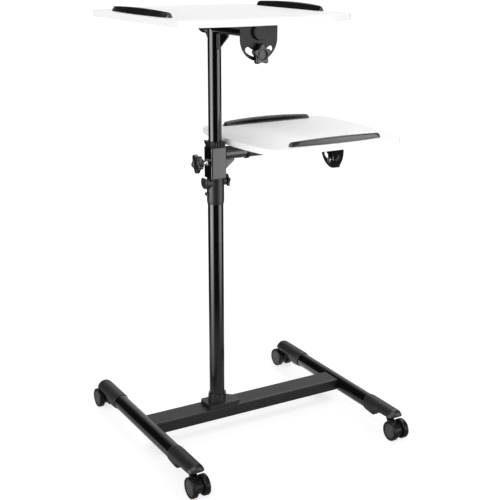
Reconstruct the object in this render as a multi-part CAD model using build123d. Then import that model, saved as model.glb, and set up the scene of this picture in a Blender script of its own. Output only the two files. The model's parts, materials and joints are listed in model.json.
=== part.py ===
from build123d import *
from math import cos, radians, sin
import os

# A rolling table with two small shelves that tilt, for a projector and the computer beside it.
# Sizes are in millimetres. While the pieces are made, the mast stands on X = 0 and Y = 0 above
# the floor at Z = 0, X runs along the beam to the right and Y runs to the back. At the end the
# whole table is moved so that the origin is under the middle of its box.

# Clearances
running_gap = 0.05
weld_gap = 0.1
seat_gap = 0.2
face_gap = 0.3
cut_overrun = 5.0

# Floor frame
leg_spacing = 560.5
mast_from_left_leg = 197.3
leg_diameter = 38.0
leg_wall = 1.8
leg_half_length = 188.0
beam_width = 60.0
beam_height = 30.0
beam_wall = 2.0
beam_corner = 3.0

# Plastic caps on the leg ends, each with a nose that holds a caster
cap_overlap = 30.0
cap_mouth_wall = 1.3
cap_wall = 2.5
cap_bevel_length = 8.0
cap_nose_reach = 29.0
cap_nose_drop = 1.5
cap_nose_lift = 4.0
cap_tip_lift = 2.0
cap_tip_inset = 4.5
cap_tip_drop = 1.5
cap_end_inset = 3.0
cap_end_edge = 8.0
cap_boss_diameter = 18.0
cap_belly_drop = 25.0
cap_belly_radius = 14.0
cap_belly_middle_lift = 1.5
cap_wheel_gap = 6.5
cap_step_length = 22.5
cap_step_middle_length = 5.0
cap_step_middle_drop = 9.0

# Twin-wheel casters
wheel_diameter = 50.0
wheel_width = 14.0
wheel_gap = 17.0
wheel_headroom = 3.5
wheel_edge = 2.5
wheel_dish_rim = 6.0
wheel_dish_depth = 1.0
wheel_hub_diameter = 14.0
wheel_recess_depth = 5.0
wheel_recess_rim = 5.0
axle_diameter = 6.0
axle_end_wall = 2.0
caster_trail = 25.0
caster_from_leg_end = 61.0
stem_diameter = 10.0
stem_grip = 15.5
stem_foot_rise = 5.0
stem_flange_diameter = 19.0
stem_flange_thickness = 2.4
hood_side_gap = 0.5
hood_rim_gap = 7.0
hood_neck_diameter = 20.0
hood_neck_height = 6.5
hood_fork_rise = 19.0
hood_pocket_depth = 3.0
hood_pocket_radius = 13.0
hood_hub_radius = 7.0

# Mast foot
foot_left_reach = 34.0
foot_right_reach = 52.0
foot_beam_margin = 2.0
foot_thickness = 9.5
foot_corner = 4.0
foot_back_corner = 20.0
socket_wall = 2.25
socket_height = 22.5
socket_rib_reach = 2.5
socket_rib_width = 7.0
foot_bolt_left = 27.0
foot_bolt_right = 38.0
foot_bolt_diameter = 8.0
foot_bolt_head_width = 13.0
foot_bolt_head_height = 5.5
foot_bolt_cover = 2.5

# Telescopic mast
upper_mast_diameter = 32.0
mast_wall = 1.5
mast_liner = 1.5
mast_overlap = 324.5
guide_length = 60.0
guide_lip = 4.0

# Clamp collar at the top of the lower mast, with its pieces placed from the clamp screw
clamp_height = 651.0
lower_mast_drop = 1.5
collar_wall = 2.0
collar_length = 57.5
collar_rise = 4.0
collar_taper_length = 8.0
collar_taper_depth = 1.2
collar_liner_length = 42.0
boss_diameter = 17.5
boss_length = 5.6
nut_housing_diameter = 31.0
nut_housing_length = 11.0
nut_housing_rise = 9.5
nut_housing_edge = 3.0
collar_tab_length = 11.0
collar_tab_overhang = 5.5
collar_tab_width = 9.0
collar_tab_drop = 25.0
clamp_screw_diameter = 8.0
collar_knob_diameter = 32.0
collar_knob_thickness = 7.0
collar_knob_hub_length = 0.8

# Sleeve that carries the lower shelf on the upper mast
sleeve_ring_height = 6.2
sleeve_ring_wall = 4.5
sleeve_liner = 1.0
sleeve_wall = 3.0
sleeve_corner = 3.5
sleeve_length = 73.5
bushing_height = 14.0
bushing_overhang = 1.0
bushing_waist_depth = 2.5
bushing_foot_lift = 1.5
bushing_slot_width = 3.0
bushing_slot_depth = 2.0
bushing_slots = 4
sleeve_knob_rise = 37.5
sleeve_knob_gap = 15.0
sleeve_knob_diameter = 48.0
sleeve_knob_thickness = 12.0
sleeve_knob_hub_length = 7.0
sleeve_screw_diameter = 9.0
sleeve_nut_width = 15.0
sleeve_nut_thickness = 6.0

# Arms under both shelves
arm_diameter = 32.0
arm_wall = 2.0
arm_flange_gap = 0.5
top_arm_reach = 173.2
lower_arm_reach = 330.7
lower_arm_rise = 56.5
end_plate_thickness = 4.0
tail_width = 22.0
gusset_thickness = 4.0
lower_gusset_length = 31.0
lower_gusset_height = 26.0
front_gusset_length = 44.0
front_gusset_height = 36.0
rear_gusset_length = 18.0
rear_gusset_height = 24.0
rear_gusset_gap = 2.0
gusset_edge = 4.0
top_arm_overhang = 3.0

# Tilting plates under both shelves
plate_thickness = 2.5
plate_flange_length = 32.0
slot_radius = 48.0
slot_side_gap = 2.5
slot_half_angle = 38.0
clamp_bolt_diameter = 8.0
bolt_head_width = 13.0
bolt_head_height = 5.0
pivot_shank_diameter = 10.0
pivot_head_diameter = 37.0
pivot_head_thickness = 7.0
pivot_head_edge = 2.5
pivot_inner_length = 12.0
tilt_knob_diameter = 48.0
tilt_knob_thickness = 12.0
tilt_knob_hub_length = 2.5
hanger_width = 44.0
hanger_flange_length = 30.0
hanger_hub_wall = 2.75
hanger_hub_length = 3.5
top_plate_width = 98.0
top_plate_margin = 15.0
lower_plate_width = 98.0
lower_plate_margin = 21.0

# Upper shelf
swivel_angle = 4.45
top_shelf_height = 1050.0
board_thickness = 15.0
board_edge = 1.0
board_corner = 16.0
top_board_width = 444.5
top_board_front = 225.0
top_board_back = 176.0
top_board_bow = 33.0

# Lower shelf
lower_board_gap = 11.0
lower_board_front = 185.0
lower_board_back = 176.0
lower_board_left_bow = 25.0
lower_board_right_bow = 15.0
lower_board_overhang = 73.4
lower_hanger_inset = 28.0

# Stops that keep things from sliding off the shelves
stop_length = 257.0
stop_width = 22.0
stop_end_width = 13.0
stop_height = 14.5
stop_end_height = 8.5
stop_end_edge = 5.0
stop_top_edge = 2.5
stop_inset = 9.0
top_stop_shift = -18.0
lower_stop_shift = 0.0

# Wood screws under the shelves
screw_diameter = 4.0
screw_head_diameter = 8.0
screw_head_height = 2.4
plate_screw_grip = 8.0
plate_screw_margin = 10.0
stop_screw_grip = 4.0
stop_screw_offset = 82.0

# Star knobs
knob_lobes = 5
knob_lobe_share = 0.3
knob_hub_share = 0.5
knob_edge = 1.8

# Casters and leg caps, from the floor up and from the leg's end outward
wheel_radius = wheel_diameter / 2
wheel_dish_diameter = wheel_diameter - 2 * wheel_dish_rim
wheel_recess_diameter = wheel_diameter - 2 * wheel_recess_rim
axle_length = wheel_gap + 2 * (wheel_width - axle_end_wall)
cap_nose_bottom = wheel_diameter + wheel_headroom
stem_top_height = cap_nose_bottom + stem_grip
stem_foot_height = wheel_radius + stem_foot_rise
hood_top = cap_nose_bottom - stem_flange_thickness - face_gap
hood_web_width = wheel_gap - 2 * hood_side_gap
hood_web_radius = wheel_radius - hood_rim_gap
hood_boss_diameter = hood_web_width
hood_fork_height = wheel_radius + hood_fork_rise
leg_axis_height = cap_nose_bottom + cap_nose_drop
leg_radius = leg_diameter / 2
cap_mouth = leg_half_length - cap_overlap
cap_bore_depth = cap_overlap + seat_gap
cap_mouth_radius = leg_radius + cap_mouth_wall
cap_radius = leg_radius + cap_wall
caster_stem_from_middle = leg_half_length + caster_from_leg_end
caster_reach = caster_stem_from_middle + caster_trail
cap_tip = caster_stem_from_middle + cap_nose_reach
cap_belly_bottom = leg_axis_height - cap_belly_drop
cap_belly_end = caster_stem_from_middle - caster_trail - wheel_radius - cap_wheel_gap
cap_step_middle = cap_belly_end + cap_step_middle_length
cap_step_middle_height = cap_nose_bottom - cap_step_middle_drop
cap_step_end = cap_belly_end + cap_step_length

# Frame, mast and collar
left_leg_x = -mast_from_left_leg
right_leg_x = leg_spacing - mast_from_left_leg
beam_top = leg_axis_height + beam_height / 2
beam_bottom = leg_axis_height - beam_height / 2
foot_top = beam_top + foot_thickness
foot_width = beam_width - 2 * foot_beam_margin
foot_bolt_grip = foot_thickness - foot_bolt_cover
upper_radius = upper_mast_diameter / 2
lower_mast_bore = upper_radius + mast_liner
lower_mast_diameter = 2 * (lower_mast_bore + mast_wall)
lower_mast_top = clamp_height - lower_mast_drop
upper_mast_bottom = lower_mast_top - mast_overlap
socket_diameter = lower_mast_diameter + 2 * socket_wall
collar_diameter = lower_mast_diameter + 2 * collar_wall
collar_top = clamp_height + collar_rise
boss_reach = collar_diameter / 2 + boss_length
nut_housing_reach = collar_diameter / 2 + nut_housing_length
nut_housing_top = clamp_height + nut_housing_rise
collar_tab_reach = collar_diameter / 2 + collar_tab_overhang
collar_tab_top = clamp_height - collar_tab_drop

# Sleeve and lower shelf, from the collar up and from the mast outward
sleeve_ring_diameter = upper_mast_diameter + 2 * sleeve_ring_wall
sleeve_width = upper_mast_diameter + 2 * (sleeve_liner + sleeve_wall)
sleeve_bottom = collar_top + weld_gap + sleeve_ring_height + seat_gap
sleeve_top = sleeve_bottom + sleeve_length
bushing_top_width = sleeve_width + 2 * bushing_overhang
bushing_foot_width = sleeve_width - 2 * bushing_waist_depth
sleeve_knob_height = sleeve_bottom + sleeve_knob_rise
sleeve_knob_reach = (sleeve_width / 2 + sleeve_knob_gap + sleeve_knob_hub_length
                     + sleeve_knob_thickness)
arm_drop = arm_diameter / 2 + plate_thickness + arm_flange_gap
lower_arm_height = sleeve_bottom + lower_arm_rise
lower_board_bottom = lower_arm_height + arm_drop
lower_shelf_height = lower_board_bottom + board_thickness
lower_plate_from_mast = lower_arm_reach + end_plate_thickness + face_gap + plate_thickness
lower_plate_drop = arm_drop + slot_radius + lower_plate_margin
lower_board_left = sleeve_width / 2 + lower_board_left_bow + lower_board_gap
lower_board_right = lower_plate_from_mast + lower_board_overhang
lower_hanger_from_mast = lower_board_left + lower_hanger_inset

# Upper shelf, from its top down and from the mast outward
top_board_bottom = top_shelf_height - board_thickness
top_arm_height = top_board_bottom - arm_drop
top_plate_from_mast = top_arm_reach + end_plate_thickness + face_gap + plate_thickness
top_plate_drop = arm_drop + slot_radius + top_plate_margin
top_hanger_from_mast = upper_radius + rear_gusset_length + rear_gusset_gap + hanger_hub_length
top_arm_back = top_hanger_from_mast + plate_thickness + top_arm_overhang
slot_width = clamp_bolt_diameter + 2 * slot_side_gap
hanger_hub_diameter = arm_diameter + 2 * hanger_hub_wall

os.makedirs("parts", exist_ok=True)



def rod(radius, length):
    """A cylinder that stands on the origin and rises along +Z."""
    return Cylinder(radius, length, align=(Align.CENTER, Align.CENTER, Align.MIN))


def along_x(shape, x, y, z):
    """Turns a shape made along +Z so that it runs along +X from a point."""
    return Pos(x, y, z) * Rot(0, 90, 0) * shape


def along_minus_x(shape, x, y, z):
    return Pos(x, y, z) * Rot(0, -90, 0) * shape


def along_y(shape, x, y, z):
    """Turns a shape made along +Z so that it runs along +Y from a point."""
    return Pos(x, y, z) * Rot(-90, 0, 0) * shape


def tube(outer_radius, inner_radius, length):
    bore = Pos(0, 0, -cut_overrun) * rod(inner_radius, length + 2 * cut_overrun)
    return rod(outer_radius, length) - bore


def drill(diameter, depth):
    """A cutter for a bolt hole through a piece that starts at the origin."""
    return Pos(0, 0, -cut_overrun) * rod(diameter / 2 + running_gap, depth + 2 * cut_overrun)


def socket(diameter, depth):
    """A cutter for a blind hole that starts at the origin and ends just past the rod in it."""
    length = depth + face_gap + cut_overrun
    return Pos(0, 0, -cut_overrun) * rod(diameter / 2 + running_gap, length)


def hexagon_head(width, height):
    return extrude(RegularPolygon(width / 2, 6, major_radius=False), height)


def star_knob(diameter, thickness, hub_length):
    """A knob with round lobes; its hub starts at the origin and the head ends at +Z."""
    radius = diameter / 2
    lobe_radius = radius * knob_lobe_share
    lobe_place = radius - lobe_radius
    outline = Circle(lobe_place)
    for lobe in range(knob_lobes):
        angle = radians(lobe * 360 / knob_lobes)
        outline += Pos(lobe_place * cos(angle), lobe_place * sin(angle)) * Circle(lobe_radius)
    head = Pos(0, 0, hub_length) * extrude(outline, thickness)
    head = fillet(head.edges().group_by(Axis.Z)[-1], knob_edge)
    return head + rod(radius * knob_hub_share, hub_length + thickness / 2)


# Floor frame

def make_leg(x):
    leg = tube(leg_radius, leg_radius - leg_wall, 2 * leg_half_length)
    return along_y(leg, x, -leg_half_length, leg_axis_height)


def make_beam():
    section = RectangleRounded(beam_height, beam_width, beam_corner)
    section -= Rectangle(beam_height - 2 * beam_wall, beam_width - 2 * beam_wall)
    beam = along_x(extrude(section, leg_spacing), left_leg_x, 0, leg_axis_height)
    for x in (left_leg_x, right_leg_x):
        cope = rod(leg_radius + weld_gap, beam_width + 2 * cut_overrun)
        beam -= along_y(cope, x, -beam_width / 2 - cut_overrun, leg_axis_height)
    for x in (-foot_bolt_left, foot_bolt_right):
        beam -= Pos(x, 0, beam_bottom) * drill(foot_bolt_diameter, beam_height)
    return beam


def make_cap(x, side):
    """A cap at the back end of a leg; side -1 mirrors it to the front end."""
    straight = cap_step_end - cap_mouth - cap_bevel_length
    bevel = Cone(cap_mouth_radius, cap_radius, cap_bevel_length,
                 align=(Align.CENTER, Align.CENTER, Align.MIN))
    cap = along_y(bevel, 0, cap_mouth, leg_axis_height)
    cap += along_y(rod(cap_radius, straight), 0, cap_mouth + cap_bevel_length, leg_axis_height)
    cap += loft([
        along_y(Circle(cap_radius), 0, cap_step_end, leg_axis_height),
        along_y(Circle(cap_radius - cap_tip_inset), 0, cap_tip, leg_axis_height - cap_tip_drop),
    ])
    belly_axis = cap_belly_bottom + cap_belly_radius
    belly_length = cap_step_end - cap_mouth
    cap += along_y(rod(cap_belly_radius, belly_length), 0, cap_mouth, belly_axis)

    roof = leg_axis_height + cap_radius + cut_overrun
    mouth_bottom = leg_axis_height - cap_mouth_radius
    belly_middle = ((cap_mouth + cap_belly_end) / 2, cap_belly_bottom + cap_belly_middle_lift)
    belly_end = (cap_belly_end, cap_belly_bottom)
    step_middle = (cap_step_middle, cap_step_middle_height)
    belly = ThreePointArc((cap_mouth, mouth_bottom), belly_middle, belly_end)
    nose_floor = cap_nose_bottom + cap_nose_lift
    step = ThreePointArc(belly_end, step_middle, (cap_step_end, nose_floor))
    rest = Polyline(
        (cap_step_end, nose_floor),
        (cap_tip + cut_overrun, nose_floor + cap_tip_lift),
        (cap_tip + cut_overrun, roof),
        (cap_mouth, roof),
        (cap_mouth, mouth_bottom),
    )
    side_view = make_face(Plane.YZ * (belly + step + rest))
    cap &= extrude(side_view, cap_radius + cut_overrun, both=True)

    # The nose ends in a round plan with a soft upper edge
    end_radius = cap_radius - cap_end_inset
    end = rod(end_radius, leg_axis_height + end_radius)
    end = fillet(end.edges().group_by(Axis.Z)[-1], cap_end_edge)
    end_middle = cap_tip - end_radius
    behind = Box(2 * cap_radius + cut_overrun, end_middle, roof,
                 align=(Align.CENTER, Align.MIN, Align.MIN))
    cap &= behind + Pos(0, end_middle, 0) * end
    cap += Pos(0, caster_stem_from_middle, cap_nose_bottom) * rod(cap_boss_diameter / 2, stem_grip)

    bore = rod(leg_radius + running_gap, cap_bore_depth + cut_overrun)
    cap -= along_y(bore, 0, cap_mouth - cut_overrun, leg_axis_height)
    stem_bore = socket(stem_diameter, stem_top_height - cap_nose_bottom)
    cap -= Pos(0, caster_stem_from_middle, cap_nose_bottom) * stem_bore
    if side < 0:
        cap = mirror(cap, about=Plane.XZ)
    return Pos(x, 0, 0) * cap


# Casters, each trailing outward from its stem

def make_stem(x, side):
    stem = Pos(0, 0, stem_foot_height) * rod(stem_diameter / 2, stem_top_height - stem_foot_height)
    flange_z = cap_nose_bottom - stem_flange_thickness
    stem += Pos(0, 0, flange_z) * rod(stem_flange_diameter / 2, stem_flange_thickness)
    return Pos(x, side * caster_stem_from_middle, 0) * stem


def make_hood(x, side):
    axle_y = side * caster_trail
    half_web = hood_web_width / 2
    web = along_x(rod(hood_web_radius, hood_web_width), -half_web, axle_y, wheel_radius)
    boss_foot = stem_foot_height - hood_pocket_depth
    web += Pos(0, 0, boss_foot) * rod(hood_boss_diameter / 2, hood_top - boss_foot)
    neck_z = hood_top - hood_neck_height
    web += Pos(0, 0, neck_z) * rod(hood_neck_diameter / 2, hood_neck_height)
    bridge = Box(hood_web_width, caster_trail, hood_fork_height - wheel_radius,
                 align=(Align.CENTER, Align.CENTER, Align.MIN))
    web += Pos(0, axle_y / 2, wheel_radius) * bridge
    pocket = tube(hood_pocket_radius, hood_hub_radius, hood_pocket_depth)
    web -= along_x(pocket, half_web - hood_pocket_depth, axle_y, wheel_radius)
    web -= along_x(pocket, -half_web, axle_y, wheel_radius)
    web -= along_x(drill(axle_diameter, hood_web_width), -half_web, axle_y, wheel_radius)
    stem_bore = rod(stem_diameter / 2 + running_gap, hood_top)
    web -= Pos(0, 0, stem_foot_height - face_gap) * stem_bore
    return Pos(x, side * caster_stem_from_middle, 0) * web


def make_axle(x, side):
    axle = rod(axle_diameter / 2, axle_length)
    return along_x(axle, x - axle_length / 2, side * caster_reach, wheel_radius)


def make_wheel(x, side, hand):
    """A wheel on the right of its caster; hand -1 puts it on the left."""
    wheel = rod(wheel_radius, wheel_width)
    wheel = fillet(wheel.edges().filter_by(GeomType.CIRCLE), wheel_edge)
    recess = tube(wheel_recess_diameter / 2, wheel_hub_diameter / 2, wheel_recess_depth)
    wheel -= recess
    dish = rod(wheel_dish_diameter / 2, wheel_dish_depth + cut_overrun)
    wheel -= Pos(0, 0, wheel_width - wheel_dish_depth) * dish
    wheel -= socket(axle_diameter, (axle_length - wheel_gap) / 2)
    y = side * caster_reach
    if hand > 0:
        return along_x(wheel, x + wheel_gap / 2, y, wheel_radius)
    return along_minus_x(wheel, x - wheel_gap / 2, y, wheel_radius)


# Mast foot

def make_mast_foot():
    left, right, half = -foot_left_reach, foot_right_reach, foot_width / 2
    outline = Polyline(
        (left, -half + foot_corner), (left + foot_corner, -half),
        (right - foot_corner, -half), (right, -half + foot_corner),
        (right, half - foot_back_corner), (right - foot_back_corner, half),
        (left + foot_corner, half), (left, half - foot_corner),
        close=True,
    )
    foot = Pos(0, 0, beam_top) * extrude(make_face(outline), foot_thickness, dir=(0, 0, 1))
    foot += Pos(0, 0, foot_top) * rod(socket_diameter / 2, socket_height)
    rib = Box(socket_diameter + 2 * socket_rib_reach, socket_rib_width, socket_height,
              align=(Align.CENTER, Align.CENTER, Align.MIN))
    foot += Pos(0, 0, foot_top) * rib
    foot -= Pos(0, 0, foot_top) * rod(lower_mast_diameter / 2 + running_gap,
                                      socket_height + cut_overrun)
    for x in (-foot_bolt_left, foot_bolt_right):
        foot -= Pos(x, 0, beam_top) * socket(foot_bolt_diameter, foot_bolt_grip)
    return foot


def make_foot_bolts():
    bolts = []
    for x in (-foot_bolt_left, foot_bolt_right):
        bolt = Pos(0, 0, -foot_bolt_head_height) * hexagon_head(
            foot_bolt_head_width, foot_bolt_head_height)
        bolt += rod(foot_bolt_diameter / 2, beam_height + foot_bolt_grip)
        bolts.append(Pos(x, 0, beam_bottom) * bolt)
    return bolts


# Telescopic mast and its clamp

def make_lower_mast():
    mast = Pos(0, 0, foot_top) * tube(lower_mast_diameter / 2, lower_mast_bore,
                                      lower_mast_top - foot_top)
    screw_hole = rod(clamp_screw_diameter / 2 + running_gap, lower_mast_diameter)
    return mast - along_x(screw_hole, 0, 0, clamp_height)


def make_clamp_collar():
    bottom = collar_top - collar_length
    outer = collar_diameter / 2
    wall_bore = lower_mast_diameter / 2 + running_gap
    liner_bore = upper_radius + running_gap
    lip_bottom = lower_mast_top + face_gap
    profile = Polyline(
        (0, bottom), (outer - collar_taper_depth, bottom), (outer, bottom + collar_taper_length),
        (outer, collar_top), (0, collar_top), close=True,
    )
    collar = Rot(0, 0, 90) * revolve(make_face(Plane.XZ * profile), Axis.Z)
    boss = along_x(rod(boss_diameter / 2, boss_reach), 0, 0, clamp_height)
    housing = rod(nut_housing_diameter / 2, nut_housing_reach)
    housing = fillet(housing.edges().group_by(Axis.Z)[-1], nut_housing_edge)
    housing = along_minus_x(housing, 0, 0, clamp_height)
    roof = Box(2 * nut_housing_reach, 2 * nut_housing_diameter, nut_housing_diameter,
               align=(Align.CENTER, Align.CENTER, Align.MIN))
    housing -= Pos(0, 0, nut_housing_top) * roof
    tab = Box(collar_tab_reach, collar_tab_width, collar_tab_length,
              align=(Align.MAX, Align.CENTER, Align.MAX))
    tab = Pos(0, 0, collar_tab_top) * tab
    low_edge = tab.edges().filter_by(Axis.Y).sort_by(Axis.X)[0:2].sort_by(Axis.Z)[0]
    tab = chamfer(low_edge, collar_tab_overhang)
    ring_space = rod(boss_reach + face_gap, nut_housing_diameter)
    collar += (boss + housing + tab) - Pos(0, 0, collar_top) * ring_space

    # The lower tube's wall stands in the slot between the collar's wall and its liner
    slot = Pos(0, 0, bottom - cut_overrun) * rod(wall_bore, lip_bottom - bottom + cut_overrun)
    liner = rod(lower_mast_bore - running_gap, collar_liner_length + cut_overrun)
    slot -= Pos(0, 0, lip_bottom - collar_liner_length) * liner
    collar -= slot
    collar -= Pos(0, 0, bottom - cut_overrun) * rod(liner_bore, collar_length + 2 * cut_overrun)
    screw_hole = rod(clamp_screw_diameter / 2 + running_gap, boss_reach + cut_overrun)
    return collar - along_x(screw_hole, 0, 0, clamp_height)


def make_collar_knob():
    knob = star_knob(collar_knob_diameter, collar_knob_thickness, collar_knob_hub_length)
    knob = along_x(knob, boss_reach + face_gap, 0, clamp_height)
    tip = upper_radius + face_gap
    screw = rod(clamp_screw_diameter / 2, boss_reach + collar_knob_hub_length - tip)
    return knob + along_x(screw, tip, 0, clamp_height)


def make_mast_guide():
    low = upper_mast_bottom - guide_lip
    guide = Pos(0, 0, low) * rod(lower_mast_bore - running_gap, guide_length)
    guide -= Pos(0, 0, upper_mast_bottom - face_gap) * rod(upper_radius + running_gap, guide_length)
    return guide - Pos(0, 0, low - cut_overrun) * rod(upper_radius - 2 * mast_wall, guide_length)


def make_upper_mast():
    length = top_arm_height - upper_mast_bottom
    mast = Pos(0, 0, upper_mast_bottom) * tube(upper_radius, upper_radius - mast_wall, length)
    cope = rod(arm_diameter / 2 + weld_gap, arm_diameter + 2 * cut_overrun)
    return mast - along_y(cope, 0, -arm_diameter / 2 - cut_overrun, top_arm_height)


# Arms

def gusset(length, height):
    """A triangle under an arm, from its post along +X, with a blunt lower and outer end."""
    outline = Polyline(
        (0, 0), (length, 0), (length, -gusset_edge), (gusset_edge, -height), (0, -height),
        close=True,
    )
    plate = extrude(make_face(Plane.XZ * outline), gusset_thickness / 2, both=True)
    return plate


def make_end_plate():
    """A disc with a tail, at the end of an arm that runs along +X; its tail holds the bolt."""
    disc = rod(arm_diameter / 2, end_plate_thickness)
    tail = Box(slot_radius, tail_width, end_plate_thickness,
               align=(Align.MIN, Align.CENTER, Align.MIN))
    plate = disc + tail + Pos(slot_radius, 0, 0) * rod(tail_width / 2, end_plate_thickness)
    plate -= Pos(slot_radius, 0, 0) * drill(clamp_bolt_diameter, end_plate_thickness)
    return plate - drill(pivot_shank_diameter, end_plate_thickness)


def make_pivot():
    """The pivot bolt with its wide round head; the head's back lies on the origin."""
    head = rod(pivot_head_diameter / 2, pivot_head_thickness)
    head = fillet(head.edges().group_by(Axis.Z)[-1], pivot_head_edge)
    shank_length = plate_thickness + 2 * face_gap + end_plate_thickness + pivot_inner_length
    shank = Pos(0, 0, -shank_length) * rod(pivot_shank_diameter / 2, shank_length)
    return head + shank


def make_slot_plate(width, drop):
    """A hanging plate with an arc slot; it faces +X and the arm's axis is the origin."""
    half = width / 2
    low = arm_drop - drop
    outline = Polyline((-half, low + half), (-half, arm_drop), (half, arm_drop), (half, low + half))
    bottom = ThreePointArc((half, low + half), (0, low), (-half, low + half))
    plate = extrude(make_face(Plane.YZ * (outline + bottom)), plate_thickness, dir=(1, 0, 0))
    flange = Box(plate_flange_length, width, plate_thickness,
                 align=(Align.MAX, Align.CENTER, Align.MAX))
    plate += Pos(plate_thickness, 0, arm_drop) * flange
    ring_outer = slot_radius + slot_width / 2
    through = plate_thickness + 2 * cut_overrun
    ring = along_x(tube(ring_outer, ring_outer - slot_width, through), -cut_overrun, 0, 0)
    end_y = slot_radius * sin(radians(slot_half_angle))
    end_z = -slot_radius * cos(radians(slot_half_angle))
    sector = Polyline((0, 0), (2 * end_y, 2 * end_z), (-2 * end_y, 2 * end_z), close=True)
    wedge = extrude(make_face(Plane.YZ * sector), through, both=True)
    plate -= ring & wedge
    for y in (-end_y, end_y):
        plate -= along_x(rod(slot_width / 2, through), -cut_overrun, y, end_z)
    plate -= along_x(drill(pivot_shank_diameter, plate_thickness), 0, 0, 0)
    for x, y in plate_screw_places(width):
        plate -= Pos(x, y, arm_drop - plate_thickness) * drill(screw_diameter, plate_thickness)
    return plate


def plate_screw_places(width):
    """Two screws through the flange of a slot plate, seen from the arm's axis."""
    x = plate_thickness - plate_flange_length + plate_screw_margin
    y = width / 2 - plate_screw_margin
    return [(x, -y), (x, y)]


def make_hanger():
    """A flanged plate with a hub that rides round an arm; the hub starts at the origin."""
    hub_radius = hanger_hub_diameter / 2
    body = along_x(rod(hub_radius, hanger_hub_length + plate_thickness), 0, 0, 0)
    space = Box(hanger_hub_length, 2 * hub_radius, plate_thickness,
                align=(Align.MIN, Align.CENTER, Align.MAX))
    body -= Pos(0, 0, arm_drop) * space
    plate = Box(plate_thickness, hanger_width, arm_drop, align=(Align.MIN, Align.CENTER, Align.MIN))
    body += Pos(hanger_hub_length, 0, 0) * plate
    flange = Box(hanger_flange_length, hanger_width, plate_thickness,
                 align=(Align.MIN, Align.CENTER, Align.MAX))
    body += Pos(hanger_hub_length, 0, arm_drop) * flange
    body -= along_x(drill(arm_diameter, hanger_flange_length), 0, 0, 0)
    for x, y in hanger_screw_places():
        body -= Pos(x, y, arm_drop - plate_thickness) * drill(screw_diameter, plate_thickness)
    return body


def hanger_screw_places():
    x = hanger_hub_length + hanger_flange_length - plate_screw_margin
    y = hanger_width / 2 - plate_screw_margin / 2
    return [(x, -y), (x, y)]


# Shelves, made flat with their top at Z = 0 until they are placed

def make_board(corner_points, bows):
    """A board from its four corners; each of its four sides bulges outward by its bow."""
    edges = []
    for index, bow in enumerate(bows):
        start = Vector(*corner_points[index])
        end = Vector(*corner_points[(index + 1) % 4])
        if bow > 0:
            along = (end - start).normalized()
            outward = Vector(along.Y, -along.X)
            edges.append(ThreePointArc(start, (start + end) / 2 + outward * bow, end))
        else:
            edges.append(Line(start, end))
    outline = make_face(Wire(edges))
    outline = fillet(outline.vertices(), board_corner)
    board = Pos(0, 0, -board_thickness) * extrude(outline, board_thickness, dir=(0, 0, 1))
    rims = board.edges().group_by(Axis.Z)
    return chamfer(rims[0] + rims[-1], board_edge)


def make_stop():
    """A stop that lies along Y on Z = 0, with its tall outer edge towards -X."""
    half = stop_length / 2
    half_end = stop_end_width / 2
    plan = Polyline((0, -half), (stop_end_width, -half), (stop_end_width, half), (0, half))
    outer = ThreePointArc((0, half), (stop_end_width - stop_width, 0), (0, -half))
    plan_face = make_face(plan + outer)
    plan_face = fillet(plan_face.vertices(), stop_end_edge)
    flat = extrude(plan_face, stop_height, dir=(0, 0, 1))
    side = Polyline((half, stop_end_height), (half, 0), (-half, 0), (-half, stop_end_height))
    arch = ThreePointArc((-half, stop_end_height), (0, stop_height), (half, stop_end_height))
    side_face = make_face(Plane.YZ * (side + arch))
    bar = flat & extrude(side_face, stop_width + half_end, both=True)
    roof_edges = bar.faces().sort_by(Axis.Z)[-1].edges()
    return fillet(roof_edges, stop_top_edge)


def make_screw(grip):
    """A pan head screw under a board, rising from its head at the origin."""
    head = Pos(0, 0, -screw_head_height) * rod(screw_head_diameter / 2, screw_head_height)
    return head + rod(screw_diameter / 2, grip)


def shelf(corner_points, bows, stop_places, plate_places):
    """Returns a board, its two stops and its screws, with the board's top at Z = 0."""
    board = make_board(corner_points, bows)
    stops = []
    screws = []
    for x, y, turn in stop_places:
        place = Pos(x, y, 0) * Rot(0, 0, turn)
        stop = make_stop()
        for offset in (-stop_screw_offset, stop_screw_offset):
            stop -= Pos(0, offset, 0) * socket(screw_diameter, stop_screw_grip)
            foot = place * Pos(0, offset, -board_thickness)
            board -= foot * drill(screw_diameter, board_thickness)
            screws.append(foot * make_screw(board_thickness + stop_screw_grip))
        stops.append(place * stop)
    for x, y in plate_places:
        foot = Pos(x, y, -board_thickness)
        board -= foot * socket(screw_diameter, plate_screw_grip)
        screw = make_screw(plate_thickness + plate_screw_grip)
        screws.append(foot * Pos(0, 0, -plate_thickness) * screw)
    return board, stops, screws


# The table, piece by piece

nodes = {}
top_nodes = {}

nodes["base_beam"] = make_beam()
nodes["left_leg"] = make_leg(left_leg_x)
nodes["right_leg"] = make_leg(right_leg_x)
nodes["mast_foot"] = make_mast_foot()
nodes["foot_bolts"] = make_foot_bolts()
nodes["lower_mast"] = make_lower_mast()
nodes["clamp_collar"] = make_clamp_collar()
nodes["collar_knob"] = make_collar_knob()
nodes["mast_guide"] = make_mast_guide()

corners = {
    "front_left": (left_leg_x, -1),
    "front_right": (right_leg_x, -1),
    "back_left": (left_leg_x, 1),
    "back_right": (right_leg_x, 1),
}
nodes["caster_stems"] = [make_stem(x, side) for x, side in corners.values()]
for corner, (x, side) in corners.items():
    nodes[f"cap_{corner}"] = make_cap(x, side)
    nodes[f"caster_hood_{corner}"] = make_hood(x, side)
    nodes[f"caster_axle_{corner}"] = make_axle(x, side)
    nodes[f"wheel_left_{corner}"] = make_wheel(x, side, -1)
    nodes[f"wheel_right_{corner}"] = make_wheel(x, side, 1)

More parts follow.
